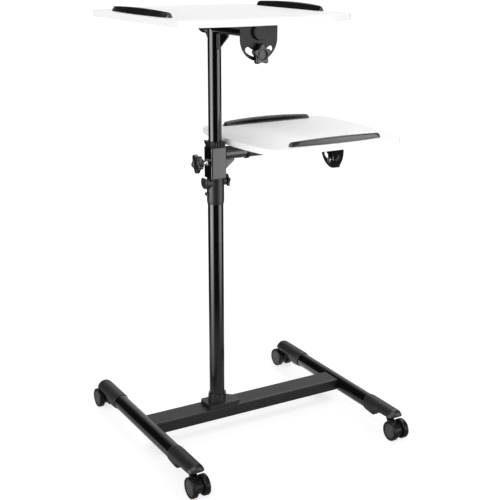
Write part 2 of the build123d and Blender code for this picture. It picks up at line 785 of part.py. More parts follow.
# Upper mast and its arm, which runs forward from the mast
top_nodes["upper_mast"] = make_upper_mast()
arm_front = -top_plate_from_mast + plate_thickness + face_gap + end_plate_thickness
top_arm_length = top_arm_back - arm_front
top_nodes["top_arm"] = along_y(tube(arm_diameter / 2, arm_diameter / 2 - arm_wall, top_arm_length),
                               0, arm_front, top_arm_height)
gusset_top = top_arm_height - arm_diameter / 2 - weld_gap
front_gusset = Rot(0, 0, -90) * gusset(front_gusset_length, front_gusset_height)
rear_gusset = Rot(0, 0, 90) * gusset(rear_gusset_length, rear_gusset_height)
top_nodes["top_gussets"] = [
    Pos(0, -upper_radius - weld_gap, gusset_top) * front_gusset,
    Pos(0, upper_radius + weld_gap, gusset_top) * rear_gusset,
]

# Pieces at the arms' ends are made along +X, so the upper ones turn to face the front
face_front = Pos(0, 0, top_arm_height) * Rot(0, 0, -90)
end_plate = along_x(make_end_plate(), -face_gap - end_plate_thickness, 0, 0)
pivot = along_x(make_pivot(), plate_thickness + face_gap, 0, 0)
slot_plate_x = top_plate_from_mast - plate_thickness
top_nodes["top_end_plate"] = face_front * Pos(slot_plate_x, 0, 0) * end_plate
top_nodes["top_pivot"] = face_front * Pos(slot_plate_x, 0, 0) * pivot
top_nodes["top_slot_plate"] = face_front * Pos(slot_plate_x, 0, 0) * make_slot_plate(
    top_plate_width, top_plate_drop)
face_back = Pos(0, top_hanger_from_mast - hanger_hub_length, top_arm_height) * Rot(0, 0, 90)
top_nodes["top_rear_hanger"] = face_back * make_hanger()

# Clamp bolt and knob of a tilting shelf, from the tail of the arm's end plate outward
bolt_start = -face_gap - end_plate_thickness
bolt_end = plate_thickness + face_gap + tilt_knob_hub_length
bolt = rod(clamp_bolt_diameter / 2, bolt_end - bolt_start)
bolt += Pos(0, 0, -bolt_head_height) * hexagon_head(bolt_head_width, bolt_head_height)
clamp_bolt = along_x(bolt, bolt_start - running_gap, 0, -slot_radius)
tilt_knob = star_knob(tilt_knob_diameter, tilt_knob_thickness, tilt_knob_hub_length)
tilt_knob -= socket(clamp_bolt_diameter, tilt_knob_hub_length)
tilt_knob = along_x(tilt_knob, plate_thickness + face_gap, 0, -slot_radius)
top_nodes["top_clamp_bolt"] = face_front * Pos(slot_plate_x, 0, 0) * clamp_bolt
top_nodes["top_knob"] = face_front * Pos(slot_plate_x, 0, 0) * tilt_knob

# Upper shelf
half_width = top_board_width / 2
top_corners = [
    (-half_width, -top_board_front), (half_width, -top_board_front),
    (half_width, top_board_back), (-half_width, top_board_back),
]
top_stop_x = half_width - stop_inset - stop_width + stop_end_width
top_plate_holes = [
    (y, -slot_plate_x - x) for x, y in plate_screw_places(top_plate_width)
] + [
    (y, top_hanger_from_mast - hanger_hub_length + x) for x, y in hanger_screw_places()
]
board, stops, screws = shelf(
    top_corners, (top_board_bow, 0, top_board_bow, 0),
    [(-top_stop_x, top_stop_shift, 0), (top_stop_x, top_stop_shift, 180)],
    top_plate_holes,
)
lift = Pos(0, 0, top_shelf_height)
top_nodes["top_board"] = lift * board
top_nodes["top_stop_left"] = lift * stops[0]
top_nodes["top_stop_right"] = lift * stops[1]
top_nodes["top_screws"] = [lift * screw for screw in screws]

# Sleeve on the upper mast, with its ring, bushing, arm and knob
ring = tube(sleeve_ring_diameter / 2, upper_radius + running_gap, sleeve_ring_height)
nodes["sleeve_ring"] = Pos(0, 0, collar_top + weld_gap) * ring

half_sleeve = sleeve_width / 2
sleeve_height = sleeve_top - sleeve_bottom
section = RectangleRounded(sleeve_width, sleeve_width, sleeve_corner)
section -= Rectangle(sleeve_width - 2 * sleeve_wall, sleeve_width - 2 * sleeve_wall)
sleeve = Pos(0, 0, sleeve_bottom) * extrude(section, sleeve_height)
screw_hole = rod(sleeve_screw_diameter / 2 + running_gap, sleeve_width)
screw_path = along_minus_x(screw_hole, 0, 0, sleeve_knob_height)
nodes["sleeve"] = sleeve - screw_path

bore_width = sleeve_width - 2 * sleeve_wall - 2 * running_gap
liner_height = sleeve_height - bushing_foot_lift
bushing = Pos(0, 0, sleeve_bottom + bushing_foot_lift) * extrude(
    Rectangle(bore_width, bore_width), liner_height + bushing_slot_depth)
flare = loft([
    Pos(0, 0, sleeve_top + running_gap) * RectangleRounded(
        bushing_foot_width, bushing_foot_width, sleeve_corner),
    Pos(0, 0, sleeve_top + bushing_height) * RectangleRounded(
        bushing_top_width, bushing_top_width, sleeve_corner),
])
slot_pitch = bushing_foot_width / (bushing_slots + 1)
flare_growth = (bushing_top_width - bushing_foot_width) / 2
groove = Box(bushing_slot_width, flare_growth + 2 * bushing_slot_depth, bushing_height,
             align=(Align.CENTER, Align.MIN, Align.MIN))
groove_depth = bushing_foot_width / 2 - bushing_slot_depth
for turn in (0, 90, 180, 270):
    for step in range(bushing_slots):
        offset = (step - (bushing_slots - 1) / 2) * slot_pitch
        place = Pos(offset, groove_depth, sleeve_top + bushing_slot_depth)
        flare -= Rot(0, 0, turn) * place * groove
bushing += flare
bushing -= Pos(0, 0, sleeve_bottom) * rod(upper_radius + running_gap,
                                          sleeve_height + bushing_height + cut_overrun)
nodes["sleeve_bushing"] = bushing - screw_path

arm_end = lower_plate_from_mast - plate_thickness - face_gap - end_plate_thickness
lower_arm_length = arm_end - half_sleeve - weld_gap
nodes["lower_arm"] = along_x(
    tube(arm_diameter / 2, arm_diameter / 2 - arm_wall, lower_arm_length),
    half_sleeve + weld_gap, 0, lower_arm_height)
lower_gusset = gusset(lower_gusset_length, lower_gusset_height)
nodes["lower_gusset"] = Pos(half_sleeve + weld_gap, 0,
                            lower_arm_height - arm_diameter / 2 - weld_gap) * lower_gusset

lower_end = Pos(lower_plate_from_mast - plate_thickness, 0, lower_arm_height)
nodes["lower_end_plate"] = lower_end * end_plate
nodes["lower_pivot"] = lower_end * pivot
nodes["lower_slot_plate"] = lower_end * make_slot_plate(lower_plate_width, lower_plate_drop)
nodes["lower_inner_hanger"] = Pos(
    lower_hanger_from_mast - hanger_hub_length, 0, lower_arm_height) * make_hanger()
nodes["lower_clamp_bolt"] = lower_end * clamp_bolt
nodes["lower_knob"] = lower_end * tilt_knob

sleeve_knob = star_knob(sleeve_knob_diameter, sleeve_knob_thickness, sleeve_knob_hub_length)
sleeve_knob -= socket(sleeve_screw_diameter, sleeve_knob_hub_length)
hub_start = sleeve_knob_reach - sleeve_knob_thickness - sleeve_knob_hub_length
nodes["sleeve_knob"] = along_minus_x(sleeve_knob, -hub_start, 0, sleeve_knob_height)
screw_tip = upper_radius + face_gap
screw_length = hub_start + sleeve_knob_hub_length - screw_tip
sleeve_screw = rod(sleeve_screw_diameter / 2, screw_length)
nut_start = half_sleeve + face_gap - screw_tip
sleeve_screw += Pos(0, 0, nut_start) * hexagon_head(sleeve_nut_width, sleeve_nut_thickness)
nodes["sleeve_screw"] = along_minus_x(sleeve_screw, -screw_tip, 0, sleeve_knob_height)

# Lower shelf
lower_corners = [
    (lower_board_left, -lower_board_front), (lower_board_right, -lower_board_front),
    (lower_board_right, lower_board_back), (lower_board_left, lower_board_back),
]
stop_x = (lower_board_left + lower_board_right) / 2 + lower_stop_shift
stop_from_edge = stop_inset + stop_width - stop_end_width
lower_plate_x = lower_plate_from_mast - plate_thickness
lower_plate_holes = [
    (lower_plate_x + x, y) for x, y in plate_screw_places(lower_plate_width)
] + [
    (lower_hanger_from_mast - hanger_hub_length + x, y) for x, y in hanger_screw_places()
]
board, stops, screws = shelf(
    lower_corners, (0, lower_board_right_bow, 0, lower_board_left_bow),
    [
        (stop_x, -lower_board_front + stop_from_edge, 90),
        (stop_x, lower_board_back - stop_from_edge, -90),
    ],
    lower_plate_holes,
)
lift = Pos(0, 0, lower_shelf_height)
nodes["lower_board"] = lift * board
nodes["lower_stop_front"] = lift * stops[0]
nodes["lower_stop_back"] = lift * stops[1]
nodes["lower_screws"] = [lift * screw for screw in screws]

# The upper shelf stands turned a little on the mast
for name, shape in top_nodes.items():
    turned = Rot(0, 0, swivel_angle)
    if isinstance(shape, list):
        nodes[name] = [turned * solid for solid in shape]
    else:
        nodes[name] = turned * shape

# The origin goes under the middle of the whole table's box
solids = {name: shape if isinstance(shape, list) else [shape] for name, shape in nodes.items()}
boxes = [solid.bounding_box() for group in solids.values() for solid in group]
mast_x = -(min(box.min.X for box in boxes) + max(box.max.X for box in boxes)) / 2
mast_y = -(min(box.min.Y for box in boxes) + max(box.max.Y for box in boxes)) / 2
print("the mast's axis stands at", round(mast_x, 4), round(mast_y, 4))

for name, group in solids.items():
    moved = [Pos(mast_x, mast_y, 0) * solid for solid in group]
    export_step(Compound(children=moved) if len(moved) > 1 else moved[0], f"parts/{name}.step")
print(len(solids), "nodes")
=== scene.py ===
import bpy
import bmesh
import json
import math
from mathutils import Matrix, Vector

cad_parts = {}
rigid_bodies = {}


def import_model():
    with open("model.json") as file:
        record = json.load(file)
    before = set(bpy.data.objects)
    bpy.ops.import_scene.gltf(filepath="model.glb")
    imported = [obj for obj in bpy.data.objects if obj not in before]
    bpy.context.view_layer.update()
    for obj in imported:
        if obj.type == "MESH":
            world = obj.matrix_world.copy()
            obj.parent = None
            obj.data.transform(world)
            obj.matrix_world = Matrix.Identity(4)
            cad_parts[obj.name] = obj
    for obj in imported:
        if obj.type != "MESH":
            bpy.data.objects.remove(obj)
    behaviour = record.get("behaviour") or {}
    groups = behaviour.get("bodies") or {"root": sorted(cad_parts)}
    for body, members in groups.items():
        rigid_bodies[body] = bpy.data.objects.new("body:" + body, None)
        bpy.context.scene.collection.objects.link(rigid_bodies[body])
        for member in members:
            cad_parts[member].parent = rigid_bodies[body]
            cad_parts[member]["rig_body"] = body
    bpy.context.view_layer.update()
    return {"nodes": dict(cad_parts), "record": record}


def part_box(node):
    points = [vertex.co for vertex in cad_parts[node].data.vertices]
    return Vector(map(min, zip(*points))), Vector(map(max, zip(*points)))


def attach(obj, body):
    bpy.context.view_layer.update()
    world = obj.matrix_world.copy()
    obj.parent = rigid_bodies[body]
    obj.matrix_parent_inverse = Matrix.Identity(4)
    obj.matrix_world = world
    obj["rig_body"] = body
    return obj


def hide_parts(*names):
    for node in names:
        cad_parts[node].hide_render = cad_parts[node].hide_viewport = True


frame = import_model()
slotOfNode = {entry["node"]: entry["material_slot"] for entry in frame["record"]["subparts"]}
mastLow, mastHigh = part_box("lower_mast")
mastX = (mastLow.x + mastHigh.x) / 2   # every place below is measured from the mast's axis
mm = 0.001
swivel = Matrix.Rotation(math.radians(4.45), 4, "Z")   # the upper shelf stands a little turned
corners = {
    "front_left": (-197.3, -1),
    "front_right": (363.2, -1),
    "back_left": (-197.3, 1),
    "back_right": (363.2, 1),
}


def place(x, y, z):
    return Matrix.Translation((x * mm, y * mm, z * mm))


def onMast(local):
    return Matrix.Translation((mastX, 0, 0)) @ local


# Shader groups shared by the finishes

def newGroup(name, inputs, outputs):
    group = bpy.data.node_groups.new(name, "ShaderNodeTree")
    for label, kind, value in inputs:
        socket = group.interface.new_socket(name=label, in_out="INPUT", socket_type=kind)
        socket.default_value = value
    for label, kind in outputs:
        group.interface.new_socket(name=label, in_out="OUTPUT", socket_type=kind)
    return group, group.nodes.new("NodeGroupInput"), group.nodes.new("NodeGroupOutput")


def mathNode(tree, operation, first, second, clamp=False):
    node = tree.nodes.new("ShaderNodeMath")
    node.operation = operation
    node.use_clamp = clamp
    for socket, value in zip(node.inputs, (first, second)):
        if isinstance(value, (int, float)):
            socket.default_value = value
        else:
            tree.links.new(value, socket)
    return node.outputs[0]


def noiseNode(tree, vector, scale, detail=3.0, rough=0.5):
    node = tree.nodes.new("ShaderNodeTexNoise")
    tree.links.new(vector, node.inputs["Vector"])
    if isinstance(scale, (int, float)):
        node.inputs["Scale"].default_value = scale
    else:
        tree.links.new(scale, node.inputs["Scale"])
    node.inputs["Detail"].default_value = detail
    node.inputs["Roughness"].default_value = rough
    return node.outputs["Fac"]


def spread(tree, value, low, high, toLow, toHigh):
    node = tree.nodes.new("ShaderNodeMapRange")
    for label, number in (("From Min", low), ("From Max", high), ("To Min", toLow), ("To Max", toHigh)):
        if isinstance(number, (int, float)):
            node.inputs[label].default_value = number
        else:
            tree.links.new(number, node.inputs[label])
    tree.links.new(value, node.inputs["Value"])
    return node.outputs["Result"]


def mixColour(tree, factor, first, second):
    node = tree.nodes.new("ShaderNodeMix")
    node.data_type = "RGBA"
    tree.links.new(factor, node.inputs["Factor"])
    for socket, value in ((node.inputs["A"], first), (node.inputs["B"], second)):
        if isinstance(value, tuple):
            socket.default_value = value
        else:
            tree.links.new(value, socket)
    return node.outputs["Result"]


def buildCoatSkin():
    group, entry, leave = newGroup(
        "coatSkin",
        [("Ripple Scale", "NodeSocketFloat", 420.0), ("Grain Scale", "NodeSocketFloat", 2600.0),
         ("Grain Share", "NodeSocketFloat", 0.3)],
        [("Height", "NodeSocketFloat")])
    where = group.nodes.new("ShaderNodeTexCoord").outputs["Object"]
    ripple = noiseNode(group, where, entry.outputs["Ripple Scale"], 1.5)
    grain = noiseNode(group, where, entry.outputs["Grain Scale"], 2.0)
    fine = mathNode(group, "MULTIPLY", grain, entry.outputs["Grain Share"])
    group.links.new(mathNode(group, "ADD", ripple, fine), leave.inputs["Height"])
    return group


def buildHandling():
    group, entry, leave = newGroup(
        "handling",
        [("Tone", "NodeSocketColor", (0.02, 0.02, 0.02, 1)),
         ("Dust", "NodeSocketColor", (0.3, 0.29, 0.27, 1)),
         ("Dust Amount", "NodeSocketFloat", 0.1), ("Smooth", "NodeSocketFloat", 0.3),
         ("Rough", "NodeSocketFloat", 0.45), ("Rub Scale", "NodeSocketFloat", 18.0)],
        [("Color", "NodeSocketColor"), ("Roughness", "NodeSocketFloat"),
         ("Rub", "NodeSocketFloat")])
    where = group.nodes.new("ShaderNodeTexCoord").outputs["Object"]
    normal = group.nodes.new("ShaderNodeNewGeometry").outputs["Normal"]
    split = group.nodes.new("ShaderNodeSeparateXYZ")
    group.links.new(normal, split.inputs[0])
    upward = spread(group, split.outputs["Z"], 0.35, 1.0, 0.0, 1.0)
    cloud = noiseNode(group, where, entry.outputs["Rub Scale"], 5.0, 0.6)
    settled = mathNode(group, "MULTIPLY", upward, spread(group, cloud, 0.35, 0.75, 0.25, 1.0))
    amount = mathNode(group, "MULTIPLY", settled, entry.outputs["Dust Amount"], clamp=True)
    group.links.new(mixColour(group, amount, entry.outputs["Tone"], entry.outputs["Dust"]),
                    leave.inputs["Color"])
    rubbed = spread(group, cloud, 0.3, 0.7, 0.0, 1.0)
    rough = spread(group, rubbed, 0.0, 1.0, entry.outputs["Smooth"], entry.outputs["Rough"])
    group.links.new(rough, leave.inputs["Roughness"])
    group.links.new(rubbed, leave.inputs["Rub"])
    return group


def buildFineScratches():
    group, entry, leave = newGroup(
        "fineScratches",
        [("Scale", "NodeSocketFloat", 60.0), ("Stretch", "NodeSocketVector", (1.0, 1.0, 0.04)),
         ("Limit", "NodeSocketFloat", 0.66)],
        [("Mask", "NodeSocketFloat")])
    where = group.nodes.new("ShaderNodeTexCoord").outputs["Object"]
    stretch = group.nodes.new("ShaderNodeVectorMath")
    stretch.operation = "MULTIPLY"
    group.links.new(where, stretch.inputs[0])
    group.links.new(entry.outputs["Stretch"], stretch.inputs[1])
    streak = noiseNode(group, stretch.outputs[0], entry.outputs["Scale"], 6.0, 0.7)
    over = mathNode(group, "SUBTRACT", streak, entry.outputs["Limit"])
    group.links.new(mathNode(group, "MULTIPLY", over, 12.0, clamp=True), leave.inputs["Mask"])
    return group


coatSkin = buildCoatSkin()
handling = buildHandling()
fineScratches = buildFineScratches()
print("shader groups ready")


def placeGroup(tree, group, values):
    node = tree.nodes.new("ShaderNodeGroup")
    node.node_tree = group
    for label, value in values.items():
        node.inputs[label].default_value = value
    return node


def newFinish(name, look):
    finish = bpy.data.materials.new(name)
    finish.use_nodes = True
    tree = finish.node_tree
    shader = tree.nodes["Principled BSDF"]
    for label, value in look.get("shader", {}).items():
        shader.inputs[label].default_value = value
    wear = placeGroup(tree, handling, look["handling"])
    colour = wear.outputs["Color"]
    rough = wear.outputs["Roughness"]
    if "scratches" in look:
        scuff = placeGroup(tree, fineScratches, look["scratches"])
        faint = mathNode(tree, "MULTIPLY", scuff.outputs["Mask"], look["scratchTone"])
        colour = mixColour(tree, faint, colour, look["scratchColour"])
        rough = mathNode(tree, "ADD", rough,
                         mathNode(tree, "MULTIPLY", scuff.outputs["Mask"], look["scratchRough"]))
    tree.links.new(colour, shader.inputs["Base Color"])
    tree.links.new(rough, shader.inputs["Roughness"])
    skin = placeGroup(tree, coatSkin, look["skin"])
    bump = tree.nodes.new("ShaderNodeBump")
    bump.inputs["Strength"].default_value = look["bump"][0]
    bump.inputs["Distance"].default_value = look["bump"][1]
    tree.links.new(skin.outputs["Height"], bump.inputs["Height"])
    tree.links.new(bump.outputs["Normal"], shader.inputs["Normal"])
    return finish


framePaintLook = {
    "shader": {"Specular IOR Level": 0.5, "Coat Weight": 0.5, "Coat Roughness": 0.08},
    "handling": {"Tone": (0.002, 0.002, 0.0022, 1), "Dust": (0.05, 0.049, 0.047, 1),
                 "Dust Amount": 0.05, "Smooth": 0.15, "Rough": 0.22, "Rub Scale": 14.0},
    "scratches": {"Scale": 46.0, "Stretch": (1.0, 1.0, 0.05), "Limit": 0.72},
    "scratchTone": 0.04, "scratchColour": (0.08, 0.08, 0.08, 1), "scratchRough": 0.08,
    "skin": {"Ripple Scale": 190.0, "Grain Scale": 900.0, "Grain Share": 0.08},
    "bump": (0.02, 0.0004),
}
beamPaintLook = {
    "shader": {"Specular IOR Level": 0.34},
    "handling": {"Tone": (0.012, 0.012, 0.0123, 1), "Dust": (0.05, 0.049, 0.047, 1),
                 "Dust Amount": 0.04, "Smooth": 0.26, "Rough": 0.34, "Rub Scale": 14.0},
    "scratches": {"Scale": 40.0, "Stretch": (0.05, 1.0, 1.0), "Limit": 0.72},
    "scratchTone": 0.04, "scratchColour": (0.08, 0.08, 0.08, 1), "scratchRough": 0.08,
    "skin": {"Ripple Scale": 190.0, "Grain Scale": 900.0, "Grain Share": 0.08},
    "bump": (0.02, 0.0004),
}
platePaintLook = {
    "shader": {"Specular IOR Level": 0.22},
    "handling": {"Tone": (0.006, 0.006, 0.0063, 1), "Dust": (0.06, 0.058, 0.055, 1),
                 "Dust Amount": 0.08, "Smooth": 0.34, "Rough": 0.42, "Rub Scale": 22.0},
    "scratches": {"Scale": 60.0, "Stretch": (0.3, 0.3, 1.0), "Limit": 0.7},
    "scratchTone": 0.04, "scratchColour": (0.1, 0.1, 0.1, 1), "scratchRough": 0.06,
    "skin": {"Ripple Scale": 260.0, "Grain Scale": 1100.0, "Grain Share": 0.3},
    "bump": (0.05, 0.0003),
}
mouldedLook = {
    "shader": {"Specular IOR Level": 0.45},
    "handling": {"Tone": (0.011, 0.011, 0.0114, 1), "Dust": (0.07, 0.068, 0.065, 1),
                 "Dust Amount": 0.06, "Smooth": 0.36, "Rough": 0.46, "Rub Scale": 26.0},
    "skin": {"Ripple Scale": 420.0, "Grain Scale": 1500.0, "Grain Share": 0.6},
    "bump": (0.08, 0.0003),
}
knobFinishLook = {
    "shader": {"Specular IOR Level": 0.5},
    "handling": {"Tone": (0.007, 0.007, 0.0074, 1), "Dust": (0.06, 0.058, 0.055, 1),
                 "Dust Amount": 0.05, "Smooth": 0.26, "Rough": 0.36, "Rub Scale": 60.0},
    "skin": {"Ripple Scale": 480.0, "Grain Scale": 1600.0, "Grain Share": 0.5},
    "bump": (0.05, 0.0002),
}
wheelFinishLook = {
    "shader": {"Specular IOR Level": 0.22},
    "handling": {"Tone": (0.004, 0.004, 0.0043, 1), "Dust": (0.06, 0.058, 0.054, 1),
                 "Dust Amount": 0.06, "Smooth": 0.3, "Rough": 0.42, "Rub Scale": 70.0},
    "scratches": {"Scale": 130.0, "Stretch": (1.0, 0.2, 0.2), "Limit": 0.7},
    "scratchTone": 0.06, "scratchColour": (0.1, 0.1, 0.095, 1), "scratchRough": 0.1,
    "skin": {"Ripple Scale": 380.0, "Grain Scale": 1400.0, "Grain Share": 0.3},
    "bump": (0.04, 0.0002),
}
stopFinishLook = {
    "shader": {"Specular IOR Level": 0.55},
    "handling": {"Tone": (0.008, 0.008, 0.0084, 1), "Dust": (0.06, 0.058, 0.055, 1),
                 "Dust Amount": 0.05, "Smooth": 0.16, "Rough": 0.24, "Rub Scale": 30.0},
    "skin": {"Ripple Scale": 420.0, "Grain Scale": 1500.0, "Grain Share": 0.4},
    "bump": (0.05, 0.0002),
}
zincLook = {
    "shader": {"Metallic": 1.0},
    "handling": {"Tone": (0.8, 0.8, 0.81, 1), "Dust": (0.5, 0.48, 0.44, 1),
                 "Dust Amount": 0.15, "Smooth": 0.18, "Rough": 0.34, "Rub Scale": 140.0},
    "skin": {"Ripple Scale": 700.0, "Grain Scale": 2600.0, "Grain Share": 0.4},
    "bump": (0.05, 0.0002),
}
boardFinishLook = {
    "shader": {"Specular IOR Level": 0.5},
    "handling": {"Tone": (0.87, 0.87, 0.87, 1), "Dust": (0.82, 0.817, 0.81, 1),
                 "Dust Amount": 0.25, "Smooth": 0.36, "Rough": 0.44, "Rub Scale": 9.0},
    "skin": {"Ripple Scale": 600.0, "Grain Scale": 2200.0, "Grain Share": 0.4},
    "bump": (0.04, 0.0002),
}
hoodLook = {
    "shader": {"Specular IOR Level": 0.22},
    "handling": {"Tone": (0.004, 0.004, 0.0043, 1), "Dust": (0.06, 0.058, 0.055, 1),
                 "Dust Amount": 0.05, "Smooth": 0.3, "Rough": 0.4, "Rub Scale": 40.0},
    "skin": {"Ripple Scale": 420.0, "Grain Scale": 1500.0, "Grain Share": 0.5},
    "bump": (0.06, 0.0003),
}
discLook = {
    "shader": {"Specular IOR Level": 0.4},
    "handling": {"Tone": (0.042, 0.042, 0.043, 1), "Dust": (0.09, 0.088, 0.083, 1),
                 "Dust Amount": 0.1, "Smooth": 0.48, "Rough": 0.6, "Rub Scale": 50.0},
    "skin": {"Ripple Scale": 520.0, "Grain Scale": 1700.0, "Grain Share": 0.6},
    "bump": (0.08, 0.0002),
}
hubDisc = newFinish("hubDiscPlastic", discLook)
beamPaint = newFinish("blackBeamCoat", beamPaintLook)
hoodPlastic = newFinish("darkHoodPlastic", hoodLook)
finishes = {
    "frame_paint": newFinish("blackGlossCoat", framePaintLook),
    "plate_paint": newFinish("blackSatinCoat", platePaintLook),
    "black_plastic": newFinish("grainedBlackPlastic", mouldedLook),
    "knob_plastic": newFinish("knobPlastic", knobFinishLook),
    "wheel_plastic": newFinish("wheelNylon", wheelFinishLook),
    "stop_plastic": newFinish("stopPlastic", stopFinishLook),
    "steel": newFinish("zincSteel", zincLook),
    "screw_steel": newFinish("zincScrewSteel", zincLook),
    "white_board": newFinish("whiteMelamine", boardFinishLook),
}
print("finishes ready")

# Every solid that stays gets its finish
for node, piece in frame["nodes"].items():
    piece.data.materials.clear()
    piece.data.materials.append(finishes[slotOfNode[node]])
print("solids dressed")

# Mesh helpers

def addPiece(name, mesh, body, slot, replaced=()):
    piece = bpy.data.objects.new(name, mesh)
    bpy.context.scene.collection.objects.link(piece)
    mesh.materials.clear()
    mesh.materials.append(finishes[slot])
    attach(piece, body)
    if replaced:
        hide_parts(*replaced)
    return piece


def bodyOf(node):
    return frame["nodes"][node]["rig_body"]


def smoothMesh(mesh, angle=40):
    mesh.polygons.foreach_set("use_smooth", [True] * len(mesh.polygons))
    mesh.set_sharp_from_angle(angle=math.radians(angle))


def skinRings(name, rings, closeEnds=True, angle=40):
    count = len(rings[0])
    points = [point for ring in rings for point in ring]
    faces = []
    for level in range(len(rings) - 1):
        low, high = level * count, (level + 1) * count
        for index in range(count):
            after = (index + 1) % count
            faces.append((low + index, low + after, high + after, high + index))
    if closeEnds:
        faces.append(tuple(reversed(range(count))))
        top = (len(rings) - 1) * count
        faces.append(tuple(range(top, top + count)))
    mesh = bpy.data.meshes.new(name)
    mesh.from_pydata([tuple(point) for point in points], [], faces)
    smoothMesh(mesh, angle)
    return mesh


def turnedRings(profile, steps=64):
    rings = []
    for radius, height in profile:
        ring = []
        for step in range(steps):
            angle = 2 * math.pi * step / steps
            ring.append(Vector((radius * mm * math.cos(angle), radius * mm * math.sin(angle),
                                height * mm)))
        rings.append(ring)
    return rings


def faceOutward(mesh, weld=None):
    shape = bmesh.new()
    shape.from_mesh(mesh)
    if weld is not None:
        bmesh.ops.remove_doubles(shape, verts=shape.verts, dist=weld)
    bmesh.ops.recalc_face_normals(shape, faces=shape.faces)
    shape.to_mesh(mesh)
    shape.free()


def moved(mesh, local):
    mesh.transform(onMast(local))
    mesh.update()
    return mesh


def joined(name, meshes, angle=40):
    whole = bmesh.new()
    for mesh in meshes:
        whole.from_mesh(mesh)
    result = bpy.data.meshes.new(name)
    whole.to_mesh(result)
    whole.free()
    smoothMesh(result, angle)
    return result


# Turns a shape made along +Z so that it points along +X, -X, -Y or +Y
towardsRight = Matrix.Rotation(math.pi / 2, 4, "Y")
towardsLeft = Matrix.Rotation(-math.pi / 2, 4, "Y")
towardsFront = Matrix.Rotation(math.pi / 2, 4, "X")
towardsBack = Matrix.Rotation(-math.pi / 2, 4, "X")

# Formed and moulded pieces: the solid's own shape with its edges broken

edgeLook = {
    "weld": 2e-6, "flatWithin": 0.6, "bevelAbove": 35, "segments": 2, "flatWeight": 80,
}
softEdges = {
    "mast_foot": 1.2, "clamp_collar": 0.9, "sleeve": 0.7, "sleeve_ring": 0.6,
    "sleeve_bushing": 0.5, "top_slot_plate": 0.45, "lower_slot_plate": 0.45,
    "top_rear_hanger": 0.45, "lower_inner_hanger": 0.45, "top_end_plate": 0.6,
    "lower_end_plate": 0.6, "top_gussets": 0.6, "lower_gusset": 0.6, "base_beam": 0.5,
    "left_leg": 0.3, "right_leg": 0.3, "top_arm": 0.3, "lower_arm": 0.3,
    "foot_bolts": 0.5, "top_clamp_bolt": 1.5, "lower_clamp_bolt": 1.5, "sleeve_screw": 1.2,
    "top_pivot": 1.6, "lower_pivot": 1.6, "top_board": 0.9, "lower_board": 0.9,
    "caster_hood_front_left": 0.9, "caster_hood_front_right": 0.9,
    "caster_hood_back_left": 0.9, "caster_hood_back_right": 0.9,
}


def breakEdges(node, width):
    mesh = frame["nodes"][node].data.copy()
    mesh.name = node + "_formed"
    shape = bmesh.new()
    shape.from_mesh(mesh)
    bmesh.ops.remove_doubles(shape, verts=shape.verts, dist=edgeLook["weld"])
    bmesh.ops.dissolve_limit(shape, angle_limit=math.radians(edgeLook["flatWithin"]),
                             verts=shape.verts, edges=shape.edges, use_dissolve_boundaries=False)
    shape.to_mesh(mesh)
    shape.free()
    smoothMesh(mesh, 180)
    piece = addPiece(mesh.name, mesh, bodyOf(node), slotOfNode[node], (node,))
    bevel = piece.modifiers.new("brokenEdges", "BEVEL")
    bevel.width = width * mm
    bevel.segments = edgeLook["segments"]
    bevel.limit_method = "ANGLE"
    bevel.angle_limit = math.radians(edgeLook["bevelAbove"])
    bevel.use_clamp_overlap = True
    flat = piece.modifiers.new("flatFaces", "WEIGHTED_NORMAL")
    flat.weight = edgeLook["flatWeight"]
    return piece


for node, width in softEdges.items():
    piece = breakEdges(node, width)
    if node == "base_beam":
        piece.data.materials[0] = beamPaint
    elif node.startswith("caster_hood"):
        piece.data.materials[0] = hoodPlastic
    elif node.endswith("_pivot"):
        piece.data.materials[0] = finishes["plate_paint"]
print("formed pieces ready")

# Star knobs

knobLook = {
    "lobes": 5, "lobeDepth": 0.13 * 2.2, "lobePower": 1.6, "innerDip": 0.4, "innerFrom": 0.3,
    "steps": 100, "edge": 3.2, "edgeShare": 0.3, "edgeSteps": 6,
    "sleeve_knob": {"radius": 23.7, "thick": 12.0, "hub": 7.0, "hubRadius": 11.0,
                    "place": (-35.0, 0, 699.0), "turn": towardsLeft, "phase": 0},
    "top_knob": {"radius": 23.7, "thick": 12.0, "hub": 2.4, "hubRadius": 11.5,
                 "place": (0, -180.3, 968.0), "turn": towardsFront, "phase": 54},
    "lower_knob": {"radius": 23.7, "thick": 12.0, "hub": 2.4, "hubRadius": 11.5,
                   "place": (337.8, 0, 670.0), "turn": towardsRight, "phase": 0},
    "collar_knob": {"radius": 15.8, "thick": 7.0, "hub": 0.8, "hubRadius": 8.0,
                    "place": (26.9, 0, 651.0), "turn": towardsRight, "phase": 0},
}


